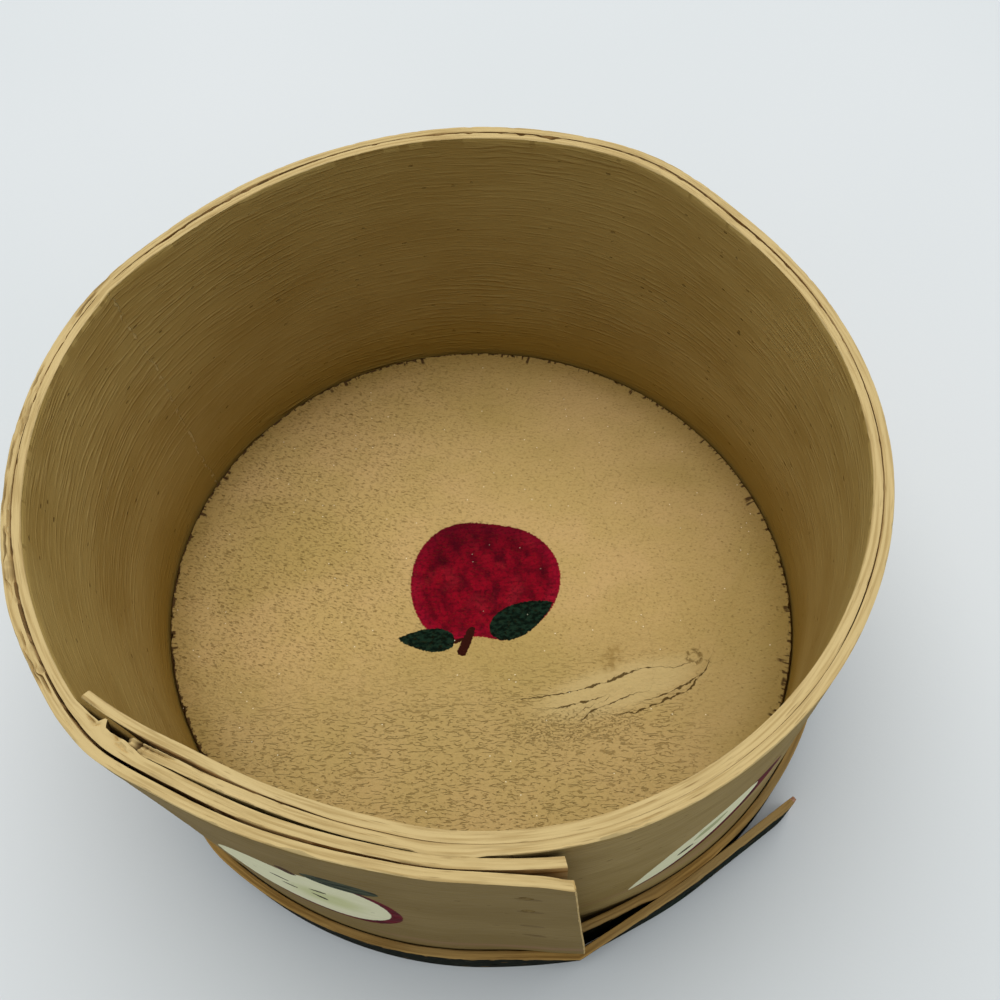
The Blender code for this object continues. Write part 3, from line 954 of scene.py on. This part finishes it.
def inside_paint():
    made, tree = new_material("inside_tan_paint")
    place, along, up = strip_place(tree)
    marks = grouped(BRUSHED_GRAIN, place)
    from_back = distance(along, arc_of(BACK_ANGLE))

    # No paint has got in behind the strip's start. The wood there is painted dark brown as painted
    # shade for the deep gap.
    gap_shade = eased(along, arc_of(FIRST_TURN_END), arc_of(FIRST_TURN_END + 1.5))
    colour = coated(
        (172, 147, 87),
        (eased(marks["Stains"], 0.38, 0.64), 1, (160, 133, 73)),
        (eased(marks["Strokes"], 0.35, 0.65), 0.35, (178, 152, 92)),
        (marks["Ridges"], 0.3, (196, 170, 112)),
        (marks["Nicks"], 0.8, (84, 62, 30)),
        # Painted shade: the inside darkens towards the back of the wall.
        (eased(from_back, arc_of(75), arc_of(20)), 0.5, (138, 116, 64)),
        # Painted shade: the wall darkens towards its foot, where it meets the floor.
        (eased(up, BOARD_THICKNESS + 0.03, BOARD_THICKNESS), 0.58, (146, 114, 36)),
        (gap_shade, 0.85, (66, 48, 26)),
    )

    # Beads of paint stand along the crease where the strip has cracked across its grain.
    aside = minus(along, arc_of(CREASE_ANGLE))
    wander = minus(cloud(place, (60, 60)), 0.5)
    aside = maths("ABSOLUTE", maths("MULTIPLY_ADD", wander, 0.004, aside))
    beads = product(eased(cloud(place, (900, 520)), 0.5, 0.6), eased(aside, 0.0009, 0.0003))
    colour = coated(colour, (beads, 0.5, (206, 184, 130)))
    height = maths("MULTIPLY_ADD", marks["Strokes"], 0.5, marks["Ridges"])
    height = minus(maths("ADD", height, beads), marks["Nicks"])
    return finish_with(made, colour, 0.6, height, 0.0003)


def rim_wood():
    made, tree = new_material("worn_rim_wood")
    place = strip_place(tree)[0]
    level = split_up(add_node(tree, "TexCoord").outputs["Object"])[2]
    lines = cloud(place, (55, 1500), 3)
    colour = clouded(
        place,
        laid_over(eased(lines, 0.42, 0.66), (197, 173, 121), (174, 148, 98)),
        ((120, 2100), 2, 0.62, 0.75, 0.55, (120, 92, 52)),
        ((30, 300), 2, 0.5, 0.75, 0.4, (206, 182, 132)),
    )
    # Painted shade: rim wood lying 1 to 2.4 mm below the rim's top, in chips and torn places, is
    # darkened.
    sunk_shade = eased(level, WALL_TOP - 0.001, WALL_TOP - 0.0024)
    colour = coated(colour, (sunk_shade, 0.9, (86, 62, 32)))
    return finish_with(made, colour, 0.62, lines, 0.00018)


def end_grain(name, pale, darker):
    """The cut end of a strip, whose grain shows as fine dots."""
    dots = ((2600, 1500), 3, 0.4, 0.62)
    streaks = ((260, 110), 3, 0.45, 0.7, 0.6, darker)
    return plain_finish(name, dots, (pale, darker), 0.75, 0.00015, streaks)


INSIDE_PAINT = inside_paint()
RIM_WOOD = rim_wood()
BARE_VENEER_GRAIN = ((34, 520), 4, 0.38, 0.64)
BARE_VENEER_TONES = ((186, 156, 106), (146, 112, 64))
BARE_VENEER = plain_finish("bare_veneer", BARE_VENEER_GRAIN, BARE_VENEER_TONES, 0.75, 0.0002)
VENEER_END = end_grain("veneer_end_grain", (206, 182, 130), (172, 144, 92))


def inner_ply_columns():
    columns = []
    for angle in winding_angles(INNER_PLY_START, INNER_PLY_END):
        along = arc_of(angle)
        top = WALL_TOP + 0.0003 * rough(along * 22, 4) - 0.0002
        closed = within(angle, SEAM_FILLED)
        filled = SEAM_FILL_SHARE * SEAT * closed + LAP_SWELLING * within(angle, LAP_SWOLLEN)
        crease = CREASE_DEPTH * max(1 - abs(angle - CREASE_ANGLE) / CREASE_TURN, 0)
        frayed = 0
        torn = within(angle, FRAYED_BY_START)
        if torn:
            start_outside = inner_ply_inside(angle - FULL_TURN, WALL_TOP) + VENEER
            room = inner_ply_inside(angle, WALL_TOP) - start_outside - FRAY_GAP
            reach = 0.42 + 0.16 * rough(along * 160, 19) + 0.1 * rough(along * 520, 29)
            reach = max(reach, 1.1 * within(angle, FRAY_BRIDGE))
            frayed = max(room * reach, 0) * torn

        def spread(height):
            return frayed * ease_in_out((height - WALL_TOP + FRAY_DEPTH) / FRAY_EASE)

        def inside(height):
            ridge = 0.00012 * raised_grain(along, height, 2)
            clear = min(height / BOARD_THICKNESS, 1)
            bent = inner_ply_inside(angle, height) - spread(height)
            return bent - (ridge - crease * lean(height)) * clear

        def swell(height):
            return filled * ease_in_out((height - WALL_TOP + 0.004) / 0.003) + spread(height)

        gap_chips = chipped(along, 47, 0.0007 + 0.0008 * within(angle, SEAM_CHIPPED))
        arrises = (0.0002 + chipped(along, 31, 0.0004), (0.00012 + gap_chips) * (1 - 0.9 * closed))
        fibres = fibres_at(along, 60, 0.00012)
        for k in range(RIM_FIBRES // 2 + 1):
            fibres[k] -= torn * (0.0001 + 0.003 * max(rough(along * 300, k * 4.7, 5) - 0.1, 0))
        rows = (FINE_ROWS, PLAIN_ROWS)
        section = section_points(inside, VENEER, top, rows, arrises, fibres, swell)
        columns.append(([angle] * len(section), section))
    return columns


inner_ply = wound_mesh(
    "inner_ply", inner_ply_columns(), FINE_ROWS, (INSIDE_PAINT, RIM_WOOD, BARE_VENEER, VENEER_END)
)
add_piece("inner_ply", inner_ply, "wall_inner_ply")


# The outer ply is a second strip, wound together with the first and starting a little later. Its
# outside is brushed tan, with cut apples and apple slices painted round it by turns, and its start
# has broken off ragged.
APPLE_COUNT = 3
APPLE_FIRST = 245.3
APPLE_HEIGHT = 0.0585
CUT_APPLE_RADIUS = 0.0212
CUT_APPLE_WIDENING = 0.98
SLICE_FIRST = -60.7
SLICE_HEIGHT = 0.047
TACK_DIRECTION = 274
TACK_HEIGHT_SHARES = (0.38, 0.51, 0.7, 0.86)
START_SHIFT = 0.0006
START_TURN = 9
END_SLANT = (0.9, -0.65)
END_SLANT_TURN = 4
LIP_OVER_HOOP = 0.0018
LIP_TURN = 14
END_BEVEL = 0.0006
END_BEVEL_TURN = 0.22
LAP_SEAM_FILLED = (-98, -95.5, -91, -89)
LEFT_SIDE = (140, 152, 206, 224)
LEFT_SPLINTERS = 0.0052
START_SPLINTERS = 0.003
SEED_ENDS = (
    ((-0.0068, 0.0064), (-0.0022, 0.0048)),
    ((-0.0054, -0.0004), (-0.0014, -0.0012)),
    ((0.0026, 0.005), (0.0068, 0.0058)),
    ((0.0022, 0.0002), (0.0054, -0.0034)),
)


def outside_paint():
    made, tree = new_material("outside_tan_paint")
    place, along, up = strip_place(tree)
    marks = grouped(BRUSHED_GRAIN, place, Length=0.02, Spacing=0.0017)
    bleed = product(
        eased(cloud(place, (12, 90)), 0.5, 0.7), eased(distance(up, 0.026), 0.011, 0)
    )
    colour = coated(
        (154, 133, 86),
        (eased(marks["Stains"], 0.4, 0.62), 1, (139, 118, 71)),
        (eased(marks["Strokes"], 0.35, 0.68), 0.4, (124, 101, 57)),
        # Painted shade: the outside darkens from 205 degrees round on to the end of the lap, on its
        # front.
        (eased(along, arc_of(205), arc_of(240)), 0.55, (112, 93, 56)),
        (bleed, 0.5, (150, 112, 92)),
    )

    def motif_place(first, height):
        """A place about the middle of the nearest painted motif, its edges ragged."""
        pitch = arc_of(FULL_TURN / APPLE_COUNT)
        aside = maths("WRAP", minus(along, arc_of(first)), pitch / 2, -pitch / 2)
        spot = joined(aside, minus(up, height))
        return grouped(RAGGED_PLACE, spot, Raggedness=0.0007)[0]

    spot = motif_place(APPLE_FIRST, APPLE_HEIGHT)
    squeezed = vectors("DIVIDE", spot, (CUT_APPLE_WIDENING, 1, 1))

    def cut_apple(radius, shift, low=-0.0001, high=0.0002):
        """The mask of a cut apple, or of a part shaped like it, about a shifted middle."""
        about = vectors("SUBTRACT", squeezed, (*shift, 0))
        depth = grouped(APPLE_OUTLINE, about, Radius=radius, Stem=pi / 2)[0]
        return eased(depth, low, high)

    core = cut_apple(0.008, (0.006, -0.001), -0.004, 0.004)
    red = clouded(spot, (98, 18, 32), ((220, 220), 3, 0.38, 0.64, 1, (68, 12, 24)))
    cream = laid_over(marks["Strokes"], (232, 228, 196), (208, 206, 164))
    green = clouded(spot, (66, 72, 54), ((260, 600), 3, 0.4, 0.62, 1, (40, 46, 36)))
    seeds = [drop(spot, *ends, 0.0019, 0.6, 0.45) for ends in SEED_ENDS]
    stem = drop(spot, (-0.001, 0.0222), (0.0016, 0.0172), 0.0032, 0.25, 0.2)
    leaf = drop(spot, (0.004, 0.0222), (0.0206, 0.0196), 0.0082, 0.6, 0.6)
    beside = motif_place(SLICE_FIRST, SLICE_HEIGHT)
    slice_skin = drop(beside, (-0.017, -0.018), (0.02, 0.022), 0.017, 0.9, 0.5)
    slice_flesh = drop(beside, (-0.019, -0.018), (0.012, 0.021), 0.015, 0.9, 0.5)
    slice_core = drop(beside, (-0.003, 0.004), (0.005, 0.014), 0.005, 0.8, 0.8)
    slice_seed = drop(beside, (-0.0068, -0.003), (-0.003, 0.0012), 0.0026, 0.6, 0.5)

    # Rust from the tacks under the paint has stained it, in short streaks.
    stains = []
    for share in TACK_HEIGHT_SHARES:
        high = BOARD_THICKNESS + share * INSIDE_DEPTH
        start = (arc_of(TACK_DIRECTION) - 0.0022, high - 0.0002)
        end = (arc_of(TACK_DIRECTION) + 0.003, high - 0.0022)
        stains.append(drop(place, start, end, 0.0026, 0.6, 0.6))
    streaked = eased(marks["Strokes"], 0.3, 0.7, 0.1, 0.7)
    colour = coated(
        colour,
        (cut_apple(CUT_APPLE_RADIUS + 0.0012, (0.0014, -0.001)), 1, red),
        (cut_apple(CUT_APPLE_RADIUS, (0, 0)), 1, coated(cream, (core, 0.6, (184, 188, 124)))),
        (largest(*seeds), 1, (60, 54, 40)),
        (stem, 1, (70, 48, 34)),
        (leaf, 1, green),
        (slice_skin, 1, red),
        (slice_flesh, 1, cream),
        (slice_core, 0.6, (120, 132, 70)),
        (slice_seed, 1, (70, 58, 34)),
        (product(largest(*stains), streaked), 1, (84, 62, 32)),
        (marks["Nicks"], 0.6, (92, 68, 38)),
    )
    height = maths("MULTIPLY_ADD", marks["Strokes"], 0.4, marks["Ridges"])
    return finish_with(made, colour, 0.6, minus(height, marks["Nicks"]), 0.00018)


def outer_ply_columns():
    columns = []
    angles = winding_angles(OUTER_PLY_START, OUTER_PLY_END)
    for angle in angles[:-1] + [OUTER_PLY_END - END_BEVEL_TURN, OUTER_PLY_END]:
        along = arc_of(angle)
        left_side = within(angle, LEFT_SIDE)
        closed = within(angle, SEAM_FILLED)
        from_start = (angle - OUTER_PLY_START) / START_TURN
        broken = max(1 - from_start, 0)
        jagged = max(rough(along * 700, 81) + 0.3, 0) * broken
        top = WALL_TOP + 0.0003 * rough(along * 19, 54) - 0.0003 - 0.0026 * jagged
        shifted = START_SHIFT * min(max(2 - from_start, 0), 1)
        to_end = max(angle - (OUTER_PLY_END - LIP_TURN), 0) / LIP_TURN
        near_end = ease_in_out((angle - (OUTER_PLY_END - END_SLANT_TURN)) / END_SLANT_TURN)

        def inside(height):
            ridge = 0.00008 * raised_grain(along, height, 6)
            over_start = shifted * ease_in_out((height - 0.09) / 0.012)
            above_hoop = ease_in_out((height - HOOP_HEIGHT) / 0.0018)
            lip = LIP_OVER_HOOP * to_end**2 * above_hoop * (1 - ease_in_out((height - 0.03) / 0.05))
            clear = min(height / BOARD_THICKNESS, 1)
            return outer_ply_inside(angle, height) + ridge * clear + over_start + lip

        splinters = 0.0004 * left_side * max(rough(along * 70, 63) - 0.1, 0)
        lapped = 0.0004 * within(angle, LAP_SEAM_FILLED)

        def swell(height):
            by_rim = ease_in_out((height - WALL_TOP + 0.006) / 0.004)
            splintered = splinters * ease_in_out((height - WALL_TOP + 0.012) / 0.011)
            return (0.5 * START_SHIFT * broken + lapped) * by_rim + splintered

        def cut_at(height):
            """The end was cut askew: it reaches on just above the hoop, and less at the rim."""
            low, high = END_SLANT
            up = (height - HOOP_HEIGHT) / (WALL_TOP - HOOP_HEIGHT)
            ragged = 0.1 * near_end * rough(height * 260, 5, 71)
            return angle + ragged + near_end * (low + (high - low) * up if up > 0.003 else 0)

        gap_chips = chipped(along, 58, 0.0007 + 0.0022 * left_side) * (1 - 0.9 * closed)
        arrises = (0.00012 + gap_chips, 0.0002 + chipped(along, 77, 0.0006))
        splintered = LEFT_SPLINTERS * left_side + START_SPLINTERS * broken
        fibres = fibres_at(along, 90, 0.0002 + 0.0001 * left_side + 0.0009 * broken, splintered)
        rows = (PLAIN_ROWS, FINE_ROWS)
        section = section_points(inside, VENEER, top, rows, arrises, fibres, swell)
        bevel = END_BEVEL if angle == OUTER_PLY_END else 0
        section = [
            (radius - bevel * across / VENEER * (height > HOOP_HEIGHT), height, across)
            for radius, height, across in section
        ]
        columns.append(([cut_at(height) for radius, height, across in section], section))
    return columns


outer_ply = wound_mesh(
    "outer_ply",
    outer_ply_columns(),
    PLAIN_ROWS,
    (BARE_VENEER, RIM_WOOD, outside_paint(), VENEER_END),
    1,
)
add_piece("outer_ply", outer_ply, "wall_outer_ply")


# The hoop is a narrow strip round the foot, nailed on. It is painted dark green-black outside, its
# upper edge is worn to bare orange wood, and its free end has sprung off past the lap.
HOOP_THICKNESS = 0.0021
HOOP_START = -79
HOOP_LEAVES = 299.5
HOOP_END = 317.5
HOOP_START_SPRING = 0.0016
HOOP_START_SPRING_TURN = 14
HOOP_GLOSS = 0.002
HOOP_ROWS_IN = 8
HOOP_ROWS_OUT = 24
HOOP_END_ROUNDING_TURN = 2.6
HOOP_END_SLANT = 1
HOOP_END_DROP = 0.0012
HOOP_END_WEAR = 0.001
HOOP_SKIVE = 0.0009
HOOP_TURNS_MEET = (-70, -67, -58, -55)
START_LEAN_SHARE = 0.8
OVER_LEAN_SHARE = 0.14
OVER_LEAN_TURN = 4


def straight_run(nearest, nearest_angle, angle):
    return nearest / cos(radians(angle - nearest_angle))


def hoop_inside(angle, height):
    """The hoop lies on the wall, runs straight from the lap's edge to its own start, and leaves."""
    if angle <= OUTER_PLY_END:
        back = max(HOOP_START + HOOP_START_SPRING_TURN - angle, 0) / HOOP_START_SPRING_TURN
        return outer_ply_outside(angle, height) + SEAT + HOOP_START_SPRING * back * back
    corner = outer_ply_outside(OUTER_PLY_END, height) + SEAT
    nearest = hoop_inside(HOOP_LEAVES - FULL_TURN, height) + HOOP_THICKNESS + SEAT
    if angle > HOOP_LEAVES:
        return straight_run(nearest, HOOP_LEAVES, angle)
    reached = OUTER_PLY_END + degrees(acos(min(nearest / corner, 1)))
    if angle < reached:
        return straight_run(nearest, reached, angle)
    lies_on = hoop_inside(angle - FULL_TURN, height) + HOOP_THICKNESS + SEAT
    return max(lies_on, nearest)


def foot_lean(angle, height):
    """How far the hoop's start leans out at its foot, or the turn over it leans in."""
    over = angle if angle > OUTER_PLY_END else angle + FULL_TURN
    if not OUTER_PLY_END < over < HOOP_LEAVES:
        return 0
    gap = hoop_inside(over, height) - hoop_inside(over - FULL_TURN, height) - HOOP_THICKNESS
    spare = max(gap - SEAT, 0) * (1 - ease_in_out(height / HOOP_HEIGHT))
    if angle < OUTER_PLY_END:
        return START_LEAN_SHARE * spare
    return -OVER_LEAN_SHARE * spare * ease_in_out((over - OUTER_PLY_END) / OVER_LEAN_TURN)


def hoop_paint():
    made, tree = new_material("chipped_dark_paint")
    place, up = strip_place(tree)[::2]
    marks = grouped(BRUSHED_GRAIN, place)
    brushed = eased(marks["Strokes"], 0.35, 0.65)
    green = eased(marks["Stains"], 0.5, 0.66)
    colour = coated((15, 17, 13), (brushed, 1, (31, 34, 27)), (green, 0.6, (22, 42, 32)))
    colour = clouded(place, colour, ((300, 900), 3, 0.56, 0.7, 0.35, (84, 84, 70)))
    bites = product(minus(cloud(place, (260, 420), 4), 0.4), 0.0085)
    chips = eased(minus(bites, minus(HOOP_HEIGHT, up)), -0.0006, -0.0003)
    scuffs = grouped(STREWN_FLECKS, place, Length=0.005, Width=0.0022, Share=0.07)[0]
    chips = largest(chips, product(scuffs, 0.8))
    bare = laid_over(brushed, (164, 130, 80), (126, 96, 54))
    colour = laid_over(chips, colour, bare)
    height = minus(marks["Strokes"], chips)
    roughness = eased(chips, 0, 1, 0.55, 0.8)
    return finish_with(made, colour, roughness, height, 0.00018, HOOP_GLOSS)


def hoop_columns():
    columns = []
    for angle in winding_angles(HOOP_START, HOOP_END):
        along = arc_of(angle)
        to_end = max(1 - (HOOP_END - angle) / HOOP_END_ROUNDING_TURN, 0)
        top = HOOP_HEIGHT + 0.0002 * rough(along * 25, 14) - HOOP_END_DROP * to_end**2.5

        def inside(height):
            return hoop_inside(angle, height) + foot_lean(angle, height)

        meets = within(angle, HOOP_TURNS_MEET)
        gap = hoop_inside(angle + FULL_TURN, HOOP_HEIGHT) - inside(HOOP_HEIGHT) if meets else 0
        filled = min(max(gap - HOOP_THICKNESS - 0.00006, 0), 0.0007) * meets

        def swell(height):
            return filled * ease_in_out((height - HOOP_HEIGHT + 0.004) / 0.003)

        upper_chips = (0.0003 + chipped(along, 26, 0.0011)) * (1 - meets)
        arrises = (0.0002 + chipped(along, 15, 0.0003), upper_chips + HOOP_END_WEAR * to_end**2)
        fibres = fibres_at(along, 120, 0.00014)
        rows = (HOOP_ROWS_IN, HOOP_ROWS_OUT)
        section = section_points(inside, HOOP_THICKNESS, top, rows, arrises, fibres, swell)
        skive = HOOP_SKIVE * to_end**2
        section = [
            (radius - skive * across / HOOP_THICKNESS, height, across)
            for radius, height, across in section
        ]
        slant = HOOP_END_SLANT * to_end
        reached = [angle + slant * (1 - height / HOOP_HEIGHT) for radius, height, across in section]
        columns.append((reached, section))
    return columns


BARE_HOOP_GRAIN = ((40, 1400), 3, 0.36, 0.66)
BARE_HOOP_TONES = ((172, 136, 76), (130, 98, 50))
HOOP_DULLED = ((16, 60), 2, 0.4, 0.65, 0.8, (152, 128, 84))
BARE_HOOP_WOOD = plain_finish(
    "bare_orange_wood", BARE_HOOP_GRAIN, BARE_HOOP_TONES, 0.7, 0.00018, HOOP_DULLED
)
HOOP_END_WOOD = end_grain("hoop_end_grain", (180, 138, 110), (146, 104, 78))
foot_hoop = wound_mesh(
    "foot_hoop",
    hoop_columns(),
    HOOP_ROWS_IN,
    (BARE_HOOP_WOOD, BARE_HOOP_WOOD, hoop_paint(), HOOP_END_WOOD),
    2,
)
add_piece("foot_hoop", foot_hoop, "bottom_hoop")


# Wire nails hold the hoop and tacks hold the lap, their points bent down flat inside. All are dull
# steel, driven till their heads are flush and then painted over, and rust has come through.
NAIL_FIRST = -32
NAIL_COUNT = 12
START_NAIL = -76
NAIL_SHANK_RADIUS = 0.00075
NAIL_HEAD_RADIUS = 0.0016
NAIL_LENGTH = 0.016
TACK_SHANK_RADIUS = 0.00065
TACK_HEAD_RADIUS = 0.0017
TACK_CLINCH_LENGTH = 0.003
TACK_BEND_RADIUS = 0.0013
TACK_BEND_STEPS = 6
FASTENER_SIDES = 24


def painted_steel(name, paint, darker_paint):
    made, tree = new_material(name)
    spot = add_node(tree, "TexCoord").outputs["Object"]
    worn = cloud(spot, (700, 700), 4)
    rust = eased(cloud(spot, (1300, 1300), 3), 0.56, 0.7, 0, 0.5)
    colour = laid_over(eased(worn, 0.38, 0.62), paint, darker_paint)
    colour = laid_over(rust, colour, (84, 50, 26))
    roughness = eased(rust, 0, 1, 0.6, 0.85)
    return finish_with(made, colour, roughness, worn, 0.00015, HOOP_GLOSS)


def flush_head(head, shank):
    """The rings of a head that lies flush: how far out, how far up, tilt and radius of each."""
    return [
        (0.0001, 0, 0, 0.4 * head),
        (0.00007, 0, 0, 0.8 * head),
        (-0.00005, 0, 0, head),
        (-0.0005, 0, 0, head),
        (-0.0007, 0, 0, shank),
    ]


def nail_rings():
    point = [(0.0016 - NAIL_LENGTH, 0, 0, NAIL_SHANK_RADIUS), (-NAIL_LENGTH, 0, 0, 0.00015)]
    return flush_head(NAIL_HEAD_RADIUS, NAIL_SHANK_RADIUS) + point


def tack_rings(grip):
    """A tack through the lap, bent down where it comes out of the wall's inside."""
    rings = flush_head(TACK_HEAD_RADIUS, TACK_SHANK_RADIUS)
    bend_out = TACK_SHANK_RADIUS - grip
    for k in range(TACK_BEND_STEPS + 1):
        tilt = pi / 2 * k / TACK_BEND_STEPS
        out = bend_out - TACK_BEND_RADIUS * sin(tilt)
        rings.append((out, TACK_BEND_RADIUS * (cos(tilt) - 1), tilt, TACK_SHANK_RADIUS))
    tip = -TACK_BEND_RADIUS - TACK_CLINCH_LENGTH
    return rings + [(bend_out - TACK_BEND_RADIUS, tip, pi / 2, TACK_SHANK_RADIUS / 3)]


def fastener_mesh(name, face, angle, height, rings, finish):
    """A nail or tack, driven square into a face that is given by its radius at an angle."""

    def on_face(turn, level):
        return Vector((*on_circle(turn, face(turn, level)), level))

    seat = on_face(angle, height)
    aside = (on_face(angle + 1, height) - on_face(angle - 1, height)).normalized()
    outward = aside.cross(on_face(angle, height + 0.001) - seat).normalized()
    up = outward.cross(aside)
    points = []
    for out, higher, tilt, radius in rings:
        middle = seat + out * outward + higher * up
        upright = cos(tilt) * up - sin(tilt) * outward
        for k in range(FASTENER_SIDES):
            turn = 2 * pi * k / FASTENER_SIDES
            points.append(tuple(middle + radius * (cos(turn) * aside + sin(turn) * upright)))
    last = len(points) - FASTENER_SIDES
    faces = [tuple(range(FASTENER_SIDES)), tuple(range(len(points) - 1, last - 1, -1))]
    for ring in range(0, last, FASTENER_SIDES):
        for k in range(FASTENER_SIDES):
            after = (k + 1) % FASTENER_SIDES
            below = ring + FASTENER_SIDES
            faces.append((ring + k, below + k, below + after, ring + after))
    places = [(points[corner][0], points[corner][2]) for face in faces for corner in face]
    return new_mesh(name, points, faces, (finish,), [0] * len(faces), places)


def hoop_face(angle, height):
    return hoop_inside(angle, height) + foot_lean(angle, height) + HOOP_THICKNESS


NAIL_FINISH = painted_steel("dark_painted_nails", (15, 17, 13), (30, 32, 25))
TACK_FINISH = painted_steel("tan_painted_tacks", (126, 106, 66), (92, 72, 40))
nail_angles = [NAIL_FIRST + k * FULL_TURN / NAIL_COUNT for k in range(NAIL_COUNT)]
for number, angle in enumerate(nail_angles + [START_NAIL], 1):
    name = f"flush_nail_{number:02d}"
    nail = fastener_mesh(name, hoop_face, angle, BOARD_THICKNESS / 2, nail_rings(), NAIL_FINISH)
    add_piece(name, nail, f"hoop_nail_{number:02d}")
for number, share in enumerate(TACK_HEIGHT_SHARES, 1):
    height = BOARD_THICKNESS + share * INSIDE_DEPTH
    grip = outer_ply_outside(TACK_DIRECTION, height)
    grip -= inner_ply_inside(TACK_DIRECTION - FULL_TURN, height)
    rings = tack_rings(grip)
    name = f"flush_tack_{number}"
    tack = fastener_mesh(name, outer_ply_outside, TACK_DIRECTION, height, rings, TACK_FINISH)
    add_piece(name, tack, f"lap_tack_{number}")
